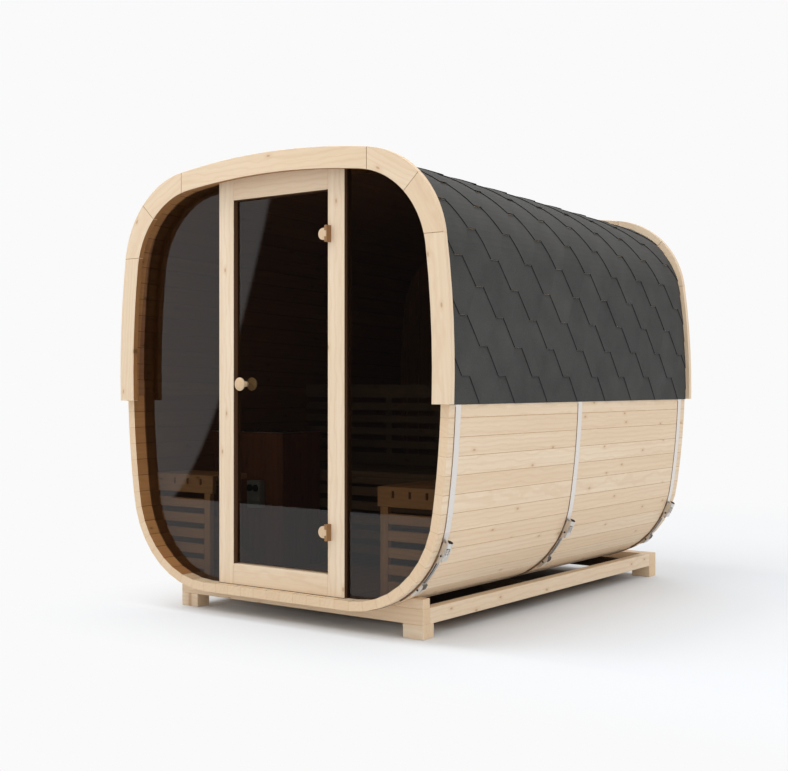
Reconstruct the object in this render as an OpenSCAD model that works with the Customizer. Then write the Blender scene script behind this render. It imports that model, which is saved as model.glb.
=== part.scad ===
// Garden sauna: a squared barrel of timber staves on a timber base frame.
// A tinted all-glass door is hinged between two fixed tinted panes.
// Millimetres. X runs across the front, Y runs to the rear, Z is up.
// The origin is the middle of the footprint, at ground level.

/* [Shell] */
// Outer width of the stave shell at its widest level
shell_width = 2100; // [1700:10:2600]
// Height of the stave shell at the front, flat bottom to crown
shell_height = 2162; // [1800:1:2600]
// Length of the staves
shell_length = 2514; // [2000:1:3200]
// Thickness of the staves
stave_thickness = 45; // [28:1:60]
// Nominal cover width of one stave
stave_width = 88; // [70:1:120]
// Outer radius of the two upper corners
upper_corner_radius = 499; // [300:1:650]
// Outer radius of the two lower corners
lower_corner_radius = 527; // [300:1:650]
// Radius of the slight outward curve of the side walls
side_curve_radius = 4427; // [2500:1:9000]
// Radius of the slight upward curve of the crown
crown_curve_radius = 4380; // [2500:1:9000]
// Height of the widest level above the flat bottom
widest_height = 1128; // [900:1:1400]
// Height above the flat bottom where the sloping upper staves start
split_height = 1000; // [700:1:1100]
// Fall of the roof toward the rear in degrees
roof_fall = 1.9; // [0:0.1:4]

/* [Roofing] */
// Thickness of the shingle skin
shingle_thickness = 8; // [4:1:15]
// How far the shingle skin reaches below the start of the upper staves
shingle_drop = 28; // [10:1:80]

/* [Trim boards] */
// Thickness of the trim boards over the shell ends
trim_thickness = 30; // [18:1:45]
// How far the trim stands proud of the shell sides
trim_side_overlap = 28; // [10:1:60]
// How far the trim stands proud of the crown
trim_top_overlap = 39; // [10:1:70]
// Width of the trim boards
trim_width = 103; // [80:1:140]
// Outer corner radius of the trim
trim_outer_radius = 494; // [300:1:650]
// Inner corner radius of the trim
trim_inner_radius = 436; // [260:1:600]
// How far the trim ends below the start of the upper staves
trim_drop = 26; // [0:1:60]
// Half length of the straight top trim board
trim_top_half_length = 608; // [400:1:700]
// Height of the side board joints above the flat bottom
trim_side_joint_height = 1735; // [1400:1:1900]

/* [Door frame] */
// Width of the doorway between the jambs
doorway_width = 622; // [500:1:800]
// Height of the doorway between sill rail and head rail
doorway_height = 1848; // [1500:1:1950]
// Face width of the jambs
jamb_width = 102; // [60:1:150]
// Depth of the door frame timbers
frame_depth = 58; // [40:1:90]
// Recess of the door frame behind the front of the trim
frame_recess = 79; // [50:1:200]
// Height of the sill rail
sill_height = 105; // [60:1:160]

/* [Glass] */
// Thickness of the glass
glass_thickness = 8; // [6:1:12]
// Setback of the glass behind the front face of the door frame
glass_setback = 24; // [15:1:40]
// Clear gap between the door leaf and its frame
door_gap = 8; // [7:0.5:12]

/* [Door fittings] */
// Height of the knob centre above the doorway bottom
knob_height = 913; // [700:1:1200]
// Diameter of the knob
knob_diameter = 68; // [40:1:90]
// Distance of the knob centre from the free edge of the leaf
knob_inset = 52; // [40:1:90]
// Height of the hinge blocks
hinge_block_height = 58; // [40:1:90]
// Width of the hinge blocks
hinge_block_width = 46; // [34:1:70]
// Height of the fixed hinge bars
hinge_bar_height = 80; // [70:1:120]
// Distance of the upper hinge centre from the doorway top
upper_hinge_inset = 215; // [100:1:350]
// Distance of the lower hinge centre from the doorway bottom
lower_hinge_inset = 204; // [100:1:350]

/* [Steel straps] */
// Width of the straps
strap_width = 42; // [25:1:60]
// Thickness of the straps
strap_thickness = 2; // [1:0.5:4]
// Distance from the shell front to the middle of the first strap
strap_front = 72; // [50:1:300]
// Distance from the shell front to the middle of the middle strap
strap_middle = 1206; // [400:1:1400]
// Distance from the shell rear to the middle of the last strap
strap_rear = 77; // [50:1:300]
// Angle below level of the upper clamp blocks, about the lower corner
clamp_angle_high = 24; // [16:1:32]
// Angle below level of the lower clamp blocks
clamp_angle_low = 48; // [44:1:60]
// Angle that one clamp block covers
clamp_span = 11; // [6:1:14]
// How far the upper clamp blocks stand proud of the straps
clamp_stand = 30; // [14:1:50]
// How far the lower clamp blocks stand proud of the straps
clamp_low_stand = 16; // [8:1:30]
// Thickness of the links between the clamp blocks
link_thickness = 5; // [3:0.5:10]

/* [Benches] */
// Height of the seat above the inside floor
seat_height = 535; // [400:1:600]
// Distance of the side bench edges from the middle
bench_edge = 545; // [420:1:700]
// Thickness of the bench boards
board_thickness = 28; // [18:1:40]
// Width of the bench boards
bench_board = 84; // [60:1:120]
// Gap between bench boards
bench_gap = 14; // [8:1:25]
// Height of the rails that carry the seats
rail_height = 95; // [50:1:110]
// Distance from the front trim to the side bench ends
bench_start = 165; // [150:1:300]
// Length of the short left bench
left_bench_length = 265; // [200:1:400]
// Distance from the front trim to the rear bench front edge
rear_bench_start = 930; // [800:1:1300]
// Depth of the rear bench
rear_bench_depth = 520; // [400:1:650]
// Height of the backrest top above the seat
backrest_height = 479; // [300:1:600]
// Height of the board along the backrest top
backrest_rail = 78; // [50:1:120]
// Height of the backrest slats
backrest_slat = 45; // [30:1:80]
// Gap between backrest slats
backrest_gap = 30; // [10:1:40]

/* [Heater] */
// Distance from the front trim to the heater guard
guard_start = 609; // [520:1:700]
// Distance of the guard side from the middle
guard_edge = 450; // [350:1:550]
// Height of the guard above the inside floor
guard_height = 750; // [500:1:900]
// Thickness of the guard boards
guard_thickness = 22; // [15:1:30]

/* [Base frame] */
// Height of the feet
foot_height = 68; // [30:1:120]
// Height of the beams
beam_height = 75; // [50:1:120]
// Thickness of the side beams and of the front beam
beam_thickness = 56; // [40:1:90]
// Depth that the shell bottom sits below the beam tops
beam_notch = 18; // [0:1:30]
// Distance of the base frame sides inside the widest shell sides
base_inset = 254; // [200:1:400]
// Distance from the trim front to the front beam
base_setback = 186; // [100:1:400]
// How far the base reaches behind the rear trim
base_overhang = 106; // [0:1:200]
// Depth of the rear beam
rear_beam_depth = 85; // [56:1:120]
// Width of the feet
foot_width = 118; // [80:1:160]
// Depth of the feet
foot_depth = 89; // [60:1:120]
// Height of the cradle wedges above the beams
cradle_height = 47; // [20:1:80]

/* [Hidden] */
// Overall sizes and levels
overall_depth = 2 * trim_thickness + shell_length + base_overhang;
y_face = -overall_depth / 2;
y_shell = y_face + trim_thickness;
y_shell_end = y_shell + shell_length;
y_frame = y_face + frame_recess;
y_glass = y_frame + glass_setback;
y_back = -y_face;
z_beam_top = foot_height + beam_height;
z_bottom = z_beam_top - beam_notch;
z_floor = z_bottom + stave_thickness;
z_crown = z_bottom + shell_height;
z_wide = z_bottom + widest_height;
z_split = z_bottom + split_height;
z_seat = z_floor + seat_height;
z_guard = z_floor + guard_height;
half_width = shell_width / 2;
base_half_width = half_width - base_inset;
reach = shell_width + shell_length;
rear_drop = shell_length * tan(roof_fall);

// Cross-section of the shell, measured along its outer face from the crown
crown_centre = [0, z_crown - crown_curve_radius];
side_centre = [half_width - side_curve_radius, z_wide];
upper_centre = meet(crown_centre, crown_curve_radius - upper_corner_radius,
                    side_centre, side_curve_radius - upper_corner_radius);
lower_centre = [side_centre[0] + sqrt(pow(side_curve_radius - lower_corner_radius, 2)
                - pow(z_bottom + lower_corner_radius - z_wide, 2)),
                z_bottom + lower_corner_radius];
crown_angle = heading(upper_centre - crown_centre);
shoulder_angle = heading(upper_centre - side_centre);
hip_angle = heading(lower_centre - side_centre);
crown_run = arc_run(crown_curve_radius, 90 - crown_angle);
shoulder_run = crown_run + arc_run(upper_corner_radius, crown_angle - shoulder_angle);
hip_run = shoulder_run + arc_run(side_curve_radius, shoulder_angle - hip_angle);
floor_run = hip_run + arc_run(lower_corner_radius, hip_angle + 90);
half_run = floor_run + lower_centre[0];
split_run = shoulder_run + arc_run(side_curve_radius,
            shoulder_angle - asin((z_split - z_wide) / side_curve_radius));

// Stave joints: whole staves above the split, a middle stave in the floor
upper_count = round(split_run / stave_width);
upper_pitch = split_run / upper_count;
lower_count = round((half_run - split_run) / stave_width - 0.5);
lower_pitch = (half_run - split_run) / (lower_count + 0.5);
crown_joint = round(crown_run / upper_pitch);
shoulder_joint = round(shoulder_run / upper_pitch);
hip_joint = round((hip_run - split_run) / lower_pitch);
floor_joint = round((floor_run - split_run) / lower_pitch);

// Trim outlines
trim_outer_half = half_width + trim_side_overlap;
trim_inner_half = trim_outer_half - trim_width;
z_trim_top = z_crown + trim_top_overlap;
z_trim_end = z_split - trim_drop;
z_trim_joint = z_bottom + trim_side_joint_height;
trim_mitre_angle = 44;

// Door
door_half = doorway_width / 2;
frame_half = door_half + jamb_width;
z_sill = z_floor + sill_height;
z_head = z_sill + doorway_height;
leaf_half = door_half - door_gap;
z_hinges = [z_sill + lower_hinge_inset, z_head - upper_hinge_inset];
z_knob = z_sill + knob_height;
knob_x = -leaf_half + knob_inset;
spindle_radius = knob_diameter / 7;
// Knob half profile as [radius, distance from the glass] at a diameter of 68
knob_profile = [[14, 0], [9, 8], [10, 30], [33, 36], [34, 40], [30, 46], [18, 50], [0, 52]];

// Hinges: a knuckle of the moving block turns on a pin in the notch of a fixed bar,
// which stands on the front of the right jamb
pin_radius = 3;
pin_play = 0.1;
knuckle_radius = 5.5;
knuckle_half = 14;
knuckle_gap = 1;
tongue_thickness = 4;
tongue_length = 24;
bar_cheek = 3;
bar_width = bar_cheek + 2 * knuckle_radius + 1.25;
bar_right = door_half + 22;
bar_left = bar_right - bar_width;
bar_notch_depth = 20;
bar_proud = 34;
hinge_x = bar_right - bar_cheek - knuckle_radius - knuckle_gap;
hinge_y = y_frame - bar_proud + knuckle_radius + 1.5;
block_right = bar_left - 3;
block_left = block_right - hinge_block_width;
block_foot = door_half - 22;
block_front = hinge_y + knuckle_radius - 0.5;
block_chamfer = 4;

// Straps
strap_middles = [y_shell + strap_front, y_shell + strap_middle, y_shell_end - strap_rear];
clamp_stop_high = clamp_angle_high + clamp_span / 2;
clamp_stop_low = clamp_angle_low - clamp_span / 2;
link_bite = 1;

// Bench
y_bench = y_face + bench_start;
y_rear_bench = y_face + rear_bench_start;
y_backrest = y_rear_bench + rear_bench_depth;
bench_pitch = bench_board + bench_gap;
slot_size = [bench_gap, 33];
slot_drop = 19;
slot_count = 3;
post_inset = 18;
post_width = 45;
panel_slat = 49;
panel_gap = 31;
rear_rail_height = 70;
rear_slat_drop = 87;
panel_margin = 120;
z_backrest = z_seat + backrest_height;
backrest_pitch = backrest_slat + backrest_gap;
backrest_slats = floor((backrest_height - backrest_rail - backrest_gap) / backrest_pitch);

// Heater
heater_gap = 40;
heater_wall_gap = 150;
heater_rise = 20;
control_size = [95, 60, 152];
control_inset = 130;
control_height = 330;

// Colours
timber = [0.90, 0.81, 0.69];
shade_timber = [0.80, 0.68, 0.52];
roof_grey = [0.20, 0.20, 0.20];
steel = [0.78, 0.78, 0.79];
glass_tint = [0.10, 0.09, 0.08, 0.55];
heater_grey = [0.45, 0.47, 0.50];
stone_grey = [0.15, 0.15, 0.15];

function heading(v) = atan2(v[1], v[0]);
function arc_run(r, degrees) = PI * r * degrees / 180;
function turn(run, r) = 180 * run / (PI * r);
function ray(degrees) = [cos(degrees), sin(degrees)];

// Point where two circles cross, on the outer side
function meet(p, rp, q, rq) =
    let (d = norm(q - p), a = (d * d + rp * rp - rq * rq) / (2 * d),
         h = sqrt(rp * rp - a * a), u = (q - p) / d)
    p + a * u + h * [u[1], -u[0]];

// Place on the shell outline at a run from the crown: [x, z, outward angle]
function place(run) =
    run < 0 ? flip(place(-run)) :
    run > half_run ? flip(place(2 * half_run - run)) :
    run <= crown_run ? on_arc(crown_centre, crown_curve_radius, 90 - turn(run, crown_curve_radius)) :
    run <= shoulder_run ? on_arc(upper_centre, upper_corner_radius,
                                 crown_angle - turn(run - crown_run, upper_corner_radius)) :
    run <= hip_run ? on_arc(side_centre, side_curve_radius,
                            shoulder_angle - turn(run - shoulder_run, side_curve_radius)) :
    run <= floor_run ? on_arc(lower_centre, lower_corner_radius,
                              hip_angle - turn(run - hip_run, lower_corner_radius)) :
    [half_run - run, z_bottom, -90];
function on_arc(c, r, a) = [c[0] + r * cos(a), c[1] + r * sin(a), a];
function flip(p) = [-p[0], p[1], 180 - p[2]];
function inset(p, depth) = [p[0] - depth * cos(p[2]), p[1] - depth * sin(p[2])];

function upper_runs(first, last) = [for (i = [first:last]) i * upper_pitch];
function lower_runs(first, last) = [for (i = [first:last]) split_run + i * lower_pitch];

// Closed band between two depths below the outer face, along a list of runs
function band(runs, top, depth) = concat(
    [for (r = runs) inset(place(r), top)],
    [for (i = [len(runs) - 1:-1:0]) inset(place(runs[i]), depth)]);

// Whole outlines of the upper and lower halves at a depth below the outer face
function upper_outline(depth) = concat(
    [for (r = upper_runs(-upper_count, upper_count)) inset(place(r), depth)],
    [[place(split_run)[0] - depth, z_split - half_width / 2],
     [depth - place(split_run)[0], z_split - half_width / 2]]);
function lower_outline(depth) =
    [for (r = lower_runs(0, 2 * lower_count + 1)) inset(place(r), depth)];

// Trim outline from the right end over the crown to the left end
function trim_arc(half, top, radius) =
    let (c = [0, top - crown_curve_radius], s = [half - side_curve_radius, z_wide],
         k = meet(c, crown_curve_radius - radius, s, side_curve_radius - radius),
         a = heading(k - s), b = heading(k - c))
    [s, a, k, radius, b, c];
function trim_point(t, a) =
    a < t[1] ? t[0] + side_curve_radius * ray(a) :
    a < t[4] ? t[2] + t[3] * ray(a) : t[5] + crown_curve_radius * ray(a);
// Outline points of one board, between two headings, with the curve stops kept
function trim_points(t, from, to, steps) =
    [for (i = [0:steps]) trim_point(t, from + (to - from) * i / steps)];

module along(y0, y1) {
    translate([0, y1, 0]) rotate([90, 0, 0]) linear_extrude(height = y1 - y0) children();
}

module block(low, high) {
    translate(low) cube(high - low);
}

module mirrored() {
    children();
    mirror([1, 0, 0]) children();
}

// Slope anything that belongs to the upper shell about its front edge
module sloped() {
    translate([0, y_shell, z_crown]) rotate([-roof_fall, 0, 0])
        translate([0, -y_shell, -z_crown]) children();
}

module upper_zone(z_from, y0, y1) {
    block([-reach, y0, z_from], [reach, y1, z_crown + reach]);
}

// Upper staves between two joints, sloped and cut square at both ends
module upper_staves(first, last) {
    intersection() {
        upper_zone(z_split, y_shell, y_shell_end);
        sloped() along(y_shell - stave_width, y_shell_end + stave_width)
            polygon(band(upper_runs(first, last), 0, stave_thickness));
    }
}

// The lowest upper stave is drawn past the split so that the cut leaves no gap
module side_staves() {
    intersection() {
        upper_zone(z_split, y_shell, y_shell_end);
        sloped() along(y_shell - stave_width, y_shell_end + stave_width)
            polygon(concat(
                [for (r = upper_runs(shoulder_joint, upper_count)) inset(place(r), 0)],
                [[place(split_run)[0], z_split - stave_width * 2],
                 [place(split_run)[0] - stave_thickness, z_split - stave_width * 2]],
                [for (i = [upper_count:-1:shoulder_joint])
                    inset(place(i * upper_pitch), stave_thickness)]));
    }
}

module lower_staves(first, last) {
    along(y_shell, y_shell_end) below_split()
        polygon(band(lower_runs(first, last), 0, stave_thickness));
}

module below_split() {
    intersection() {
        children();
        translate([-reach, 0]) square([2 * reach, z_split]);
    }
}

// Clear space inside the shell, between two distances from the front
module inside(y0, y1) {
    intersection() {
        upper_zone(z_split, y0, y1);
        sloped() along(y0 - stave_width, y1 + stave_width)
            polygon(upper_outline(stave_thickness));
    }
    along(y0, y1) below_split() polygon(lower_outline(stave_thickness));
}

module floor_staves() {
    color(timber) lower_staves(floor_joint, 2 * lower_count + 1 - floor_joint);
}

module floor_corner_right() {
    color(timber) lower_staves(hip_joint, floor_joint);
}

module floor_corner_left() {
    mirror([1, 0, 0]) floor_corner_right();
}

module wall_lower_right() {
    color(timber) lower_staves(0, hip_joint);
}

module wall_lower_left() {
    mirror([1, 0, 0]) wall_lower_right();
}

module wall_upper_right() {
    color(timber) side_staves();
}

module wall_upper_left() {
    mirror([1, 0, 0]) wall_upper_right();
}

module roof_corner_right() {
    color(timber) upper_staves(crown_joint, shoulder_joint);
}

module roof_corner_left() {
    mirror([1, 0, 0]) roof_corner_right();
}

module roof_staves() {
    color(timber) upper_staves(-crown_joint, crown_joint);
}

module roof_shingles() {
    color(roof_grey) difference() {
        intersection() {
            upper_zone(z_split - shingle_drop, y_shell, y_shell_end);
            sloped() along(y_shell - stave_width, y_shell_end + stave_width)
                polygon(upper_outline(-shingle_thickness));
        }
        sloped() along(y_shell - 2 * stave_width, y_shell_end + 2 * stave_width)
            polygon(upper_outline(0));
        along(y_shell - stave_width, y_shell_end + stave_width) polygon(lower_outline(0));
    }
}

module rear_wall() {
    color(timber) inside(y_shell_end - 2 * stave_thickness, y_shell_end - stave_thickness);
}

// Ring section between the outer and inner trim outlines, cut to one board
module trim_face(drop) {
    outer = trim_arc(trim_outer_half, z_trim_top, trim_outer_radius);
    inner = trim_arc(trim_inner_half, z_trim_top - trim_width, trim_inner_radius);
    low = heading([side_curve_radius, z_trim_end - half_width / 2 - z_wide]);
    difference() {
        polygon(concat(trim_side(outer, low), mirror_points(trim_side(outer, low))));
        polygon(concat(trim_side(inner, low - 2), mirror_points(trim_side(inner, low - 2))));
        translate([-reach, z_trim_end + drop - reach]) square([2 * reach, reach]);
    }
}
function trim_side(t, low) = concat(
    trim_points(t, low, t[1], 10), trim_points(t, t[1] + 3, t[4] - 3, 20),
    trim_points(t, t[4], 90, 8));
function mirror_points(p) = [for (i = [len(p) - 1:-1:0]) if (p[i][0] > 0.001) [-p[i][0], p[i][1]]];

// Half plane beyond the mitre of an upper corner, as a large wedge
module mitre_zone(side) {
    corner = [trim_outer_half - trim_outer_radius, z_trim_top - trim_outer_radius];
    translate(corner) rotate(trim_mitre_angle) translate([-reach, side > 0 ? 0 : -reach])
        square([2 * reach, reach]);
}

module trim_top_board(drop) {
    intersection() {
        trim_face(drop);
        translate([-trim_top_half_length, z_wide]) square([2 * trim_top_half_length, reach]);
    }
}

module trim_shoulder_board(drop) {
    intersection() {
        trim_face(drop);
        translate([trim_top_half_length, z_wide]) square(reach);
        mitre_zone(1);
    }
}

module trim_corner_board(drop) {
    intersection() {
        trim_face(drop);
        translate([0, z_trim_joint]) square(reach);
        mitre_zone(-1);
    }
}

module trim_side_board(drop) {
    intersection() {
        trim_face(drop);
        translate([0, z_trim_joint - reach]) square(reach);
    }
}

module front_trim() {
    along(y_face, y_shell) children();
}

module rear_trim() {
    translate([0, 0, -rear_drop]) along(y_shell_end, y_shell_end + trim_thickness) children();
}

module front_trim_top() {
    color(timber) front_trim() trim_top_board(0);
}

module front_trim_shoulders() {
    color(timber) mirrored() front_trim() trim_shoulder_board(0);
}

module front_trim_corners() {
    color(timber) mirrored() front_trim() trim_corner_board(0);
}

module front_trim_sides() {
    color(timber) mirrored() front_trim() trim_side_board(0);
}

module rear_trim_top() {
    color(timber) rear_trim() trim_top_board(rear_drop);
}

module rear_trim_shoulders() {
    color(timber) mirrored() rear_trim() trim_shoulder_board(rear_drop);
}

module rear_trim_corners() {
    color(timber) mirrored() rear_trim() trim_corner_board(rear_drop);
}

module rear_trim_sides() {
    color(timber) mirrored() rear_trim() trim_side_board(rear_drop);
}

module door_jambs() {
    color(timber) intersection() {
        mirrored() block([door_half, y_frame, z_floor - stave_width],
                         [frame_half, y_frame + frame_depth, z_crown]);
        inside(y_frame, y_frame + frame_depth);
    }
}

module door_head() {
    color(timber) intersection() {
        block([-door_half, y_frame, z_head], [door_half, y_frame + frame_depth, z_crown]);
        inside(y_frame, y_frame + frame_depth);
    }
}

module door_sill() {
    color(timber) block([-door_half, y_frame, z_floor],
                        [door_half, y_frame + frame_depth, z_sill]);
}

module side_glass() {
    color(glass_tint) mirrored() intersection() {
        block([frame_half, y_glass, z_floor], [half_width, y_glass + glass_thickness, z_crown]);
        inside(y_glass, y_glass + glass_thickness);
    }
}

module door_glass() {
    color(glass_tint) difference() {
        block([-leaf_half, y_glass, z_sill + door_gap],
              [leaf_half, y_glass + glass_thickness, z_head - door_gap]);
        along(y_glass - 1, y_glass + glass_thickness + 1) translate([knob_x, z_knob])
            circle(r = spindle_radius);
    }
}

// Turned knob on both faces of the leaf, with its spindle through the glass
module door_knob() {
    size = knob_diameter / 68;
    last = len(knob_profile) - 1;
    color(timber) translate([knob_x, y_glass, z_knob]) rotate([90, 0, 0]) rotate_extrude()
        polygon(concat(
            [for (i = [last:-1:0]) [size * knob_profile[i][0],
                                    -glass_thickness - size * knob_profile[i][1]]],
            [[spindle_radius, -glass_thickness], [spindle_radius, 0]],
            [for (p = knob_profile) size * p]));
}

// Half-round blocks on the glass, cut back to pass the jamb, each with a tongue and a
// knuckle around its pin
module hinge_blocks() {
    radius = hinge_block_height / 2;
    left = block_left + radius;
    color(timber) for (z = z_hinges) translate([0, 0, z]) {
        intersection() {
            along(block_front, y_glass) {
                translate([left, 0]) circle(r = radius);
                translate([left, -radius]) square([block_right - left, 2 * radius]);
            }
            translate([0, 0, -radius]) linear_extrude(height = 2 * radius)
                polygon([[block_left, block_front],
                         [block_right - block_chamfer, block_front],
                         [block_right, block_front + block_chamfer],
                         [block_foot, y_glass], [block_left, y_glass]]);
        }
        translate([hinge_x, hinge_y, -knuckle_half]) knuckle();
    }
}

module knuckle() {
    difference() {
        union() {
            cylinder(r = knuckle_radius, h = 2 * knuckle_half);
            translate([-tongue_length, knuckle_radius - tongue_thickness, 0])
                cube([tongue_length, tongue_thickness, 2 * knuckle_half]);
        }
        translate([0, 0, -1]) cylinder(r = pin_radius + pin_play, h = 2 * knuckle_half + 2);
    }
}

// Fixed bars on the front of the right jamb, each with a notch and a pin
module hinge_bars() {
    notch = knuckle_half + knuckle_gap;
    y0 = y_frame - bar_proud;
    color(timber) for (z = z_hinges) translate([0, 0, z]) {
        difference() {
            block([bar_left, y0, -hinge_bar_height / 2],
                  [bar_right, y_frame, hinge_bar_height / 2]);
            block([bar_left - 1, y0 - 1, -notch],
                  [bar_right - bar_cheek, y0 + bar_notch_depth, notch]);
        }
        translate([hinge_x, hinge_y, 0])
            cylinder(r = pin_radius, h = 2 * notch + 2, center = true);
    }
}

// Wedge about the right lower corner between two angles below level
module corner_sector(from, to) {
    translate(lower_centre) polygon([[0, 0], reach * ray(-from), reach * ray(-to)]);
}

// One strap runs under the shell from the left shingle edge to the right one
module straps() {
    color(steel) for (y = strap_middles) along(y - strap_width / 2, y + strap_width / 2)
        difference() {
            polygon(band(lower_runs(0, 2 * lower_count + 1), -strap_thickness, 0));
            translate([-reach, z_split - shingle_drop]) square([2 * reach, reach]);
        }
}

// Two blocks on each strap, with a curved link between them
module strap_clamps() {
    color(steel) for (y = strap_middles) along(y - strap_width / 2, y + strap_width / 2) {
        clamp_block(clamp_stop_high - clamp_span, clamp_stop_high, clamp_stand);
        clamp_block(clamp_stop_low, clamp_stop_low + clamp_span, clamp_low_stand);
        clamp_block(clamp_stop_high - link_bite, clamp_stop_low + link_bite, link_thickness);
    }
}

module clamp_block(from, to, stand) {
    intersection() {
        difference() {
            polygon(lower_outline(-strap_thickness - stand));
            polygon(lower_outline(-strap_thickness));
        }
        corner_sector(from, to);
    }
}

// Seat of boards that run along Y, on two battens
module seat_along(x0, x1, y0, y1) {
    for (i = [0:ceil((x1 - x0) / bench_pitch) - 1])
        block([x0 + i * bench_pitch, y0, z_seat - board_thickness],
              [min(x0 + i * bench_pitch + bench_board, x1), y1, z_seat]);
    for (y = [y0 + post_width, y1 - 2 * post_width])
        block([x0, y, z_seat - 2 * board_thickness],
              [x1, y + post_width, z_seat - board_thickness]);
}

module bench_right() {
    color(shade_timber) intersection() {
        seat_along(bench_edge, half_width, y_bench + board_thickness, y_rear_bench);
        inside(y_bench, y_rear_bench);
    }
}

module bench_left() {
    color(shade_timber) intersection() {
        mirror([1, 0, 0]) seat_along(bench_edge, half_width, y_bench + board_thickness,
                                     y_bench + left_bench_length);
        inside(y_bench, y_rear_bench);
    }
}

// Slatted end panel of a side bench: rail with slots, post and level slats
module bench_end() {
    y0 = y_bench - 1;
    y1 = y_bench + board_thickness + 1;
    difference() {
        union() {
            block([bench_edge, y_bench, z_seat - rail_height],
                  [half_width, y_bench + board_thickness, z_seat]);
            block([bench_edge + post_inset, y_bench, z_floor],
                  [half_width, y_bench + board_thickness, z_seat - rail_height]);
        }
        for (i = [0:slot_count - 1]) translate([bench_edge + bench_board + i * bench_pitch, 0, 0])
            block([0, y0, z_seat - slot_drop - slot_size[1]], [slot_size[0], y1, z_seat - slot_drop]);
        for (z = [z_seat - rail_height - panel_gap:-panel_slat - panel_gap:z_floor + panel_slat])
            block([bench_edge + post_inset + post_width, y0, z],
                  [half_width - panel_margin, y1, z + panel_gap]);
    }
}

module bench_ends() {
    color(shade_timber) intersection() {
        mirrored() bench_end();
        inside(y_bench, y_bench + board_thickness);
    }
}

// Rear bench: seat boards from wall to wall on three bearers, and a slatted front
module bench_rear() {
    y1 = y_rear_bench + board_thickness;
    color(shade_timber) intersection() {
        union() {
            for (i = [0:floor(rear_bench_depth / bench_pitch) - 1])
                block([-half_width, y_rear_bench + i * bench_pitch, z_seat - board_thickness],
                      [half_width, y_rear_bench + i * bench_pitch + bench_board, z_seat]);
            block([-half_width, y_rear_bench, z_seat - rear_rail_height],
                  [half_width, y1, z_seat - board_thickness]);
            for (z = [z_seat - rear_slat_drop:-panel_slat - panel_gap:z_floor + panel_slat])
                block([-bench_edge, y_rear_bench, z - panel_slat], [bench_edge, y1, z]);
            for (x = [-bench_edge, -post_width / 2, bench_edge - post_width]) {
                block([x, y_rear_bench, z_seat - 2 * board_thickness],
                      [x + post_width, y_backrest, z_seat - board_thickness]);
                block([x, y_rear_bench, z_floor], [x + post_width, y1, z_seat - board_thickness]);
            }
        }
        inside(y_rear_bench, y_backrest + board_thickness);
    }
}

// Slatted backrest: a top board, slats and a bottom board from wall to wall on battens
module backrest() {
    z_rail = z_backrest - backrest_rail;
    y_slat = y_backrest + board_thickness / 2;
    color(shade_timber) intersection() {
        union() {
            block([-half_width, y_backrest, z_rail], [half_width, y_slat, z_backrest]);
            for (i = [1:backrest_slats])
                block([-half_width, y_backrest, z_rail - i * backrest_pitch],
                      [half_width, y_slat, z_rail - i * backrest_pitch + backrest_slat]);
            block([-half_width, y_backrest, z_seat],
                  [half_width, y_slat,
                   z_rail - backrest_slats * backrest_pitch - backrest_gap]);
            for (x = [-2 * bench_edge / 3, 0, 2 * bench_edge / 3])
                block([x - post_width / 2, y_slat, z_seat - rail_height],
                      [x + post_width / 2, y_slat + board_thickness, z_backrest]);
        }
        inside(y_backrest, y_backrest + 2 * board_thickness);
    }
}

module guard_front() {
    color(shade_timber) intersection() {
        block([-half_width, y_face + guard_start, z_floor],
              [-guard_edge, y_face + guard_start + guard_thickness, z_guard]);
        inside(y_face + guard_start, y_rear_bench);
    }
}

module guard_side() {
    y0 = y_face + guard_start + guard_thickness;
    color(shade_timber) intersection() {
        block([-guard_edge - guard_thickness, y0, z_floor - 1],
              [-guard_edge, y_rear_bench, z_guard]);
        inside(y0, y_rear_bench);
    }
}

module heater() {
    y0 = y_face + guard_start + guard_thickness + heater_gap;
    color(stone_grey) intersection() {
        block([-half_width + heater_wall_gap, y0, z_floor],
              [-guard_edge - guard_thickness - heater_gap, y_rear_bench - heater_gap,
               z_guard + heater_rise]);
        inside(y0, y_rear_bench);
    }
}

module control_box() {
    color(heater_grey) translate([-guard_edge - control_inset - control_size[0],
                                  y_face + guard_start - control_size[1],
                                  z_floor + control_height]) cube(control_size);
}

module base_front_beam() {
    y0 = y_face + base_setback;
    color(timber) difference() {
        block([-base_half_width, y0, foot_height],
              [base_half_width, y0 + beam_thickness, z_beam_top]);
        along(y0 - 1, y0 + beam_thickness + 1) polygon(lower_outline(0));
    }
}

module base_rear_beam() {
    color(timber) block([-base_half_width, y_back - rear_beam_depth, foot_height],
                        [base_half_width, y_back, z_beam_top]);
}

module base_side_beams() {
    color(timber) mirrored()
        block([base_half_width - beam_thickness, y_face + base_setback + beam_thickness,
               foot_height], [base_half_width, y_back - rear_beam_depth, z_beam_top]);
}

module base_joists() {
    x = base_half_width - beam_thickness;
    color(timber) for (y = [strap_middles[1] + strap_width, y_shell_end - 3 * beam_thickness])
        block([-x, y, foot_height], [x, y + beam_thickness, z_bottom]);
}

module cradle_wedges() {
    y0 = y_face + base_setback;
    color(timber) difference() {
        mirrored() block([half_width / 2, y0, z_beam_top],
                         [base_half_width, y0 + beam_thickness, z_beam_top + cradle_height]);
        along(y0 - 1, y0 + beam_thickness + 1) polygon(lower_outline(0));
    }
}

module base_feet() {
    color(timber) mirrored() for (y = [y_face + base_setback, y_back - foot_depth])
        block([base_half_width - foot_width, y, 0],
              [base_half_width, y + foot_depth, foot_height]);
}

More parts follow.
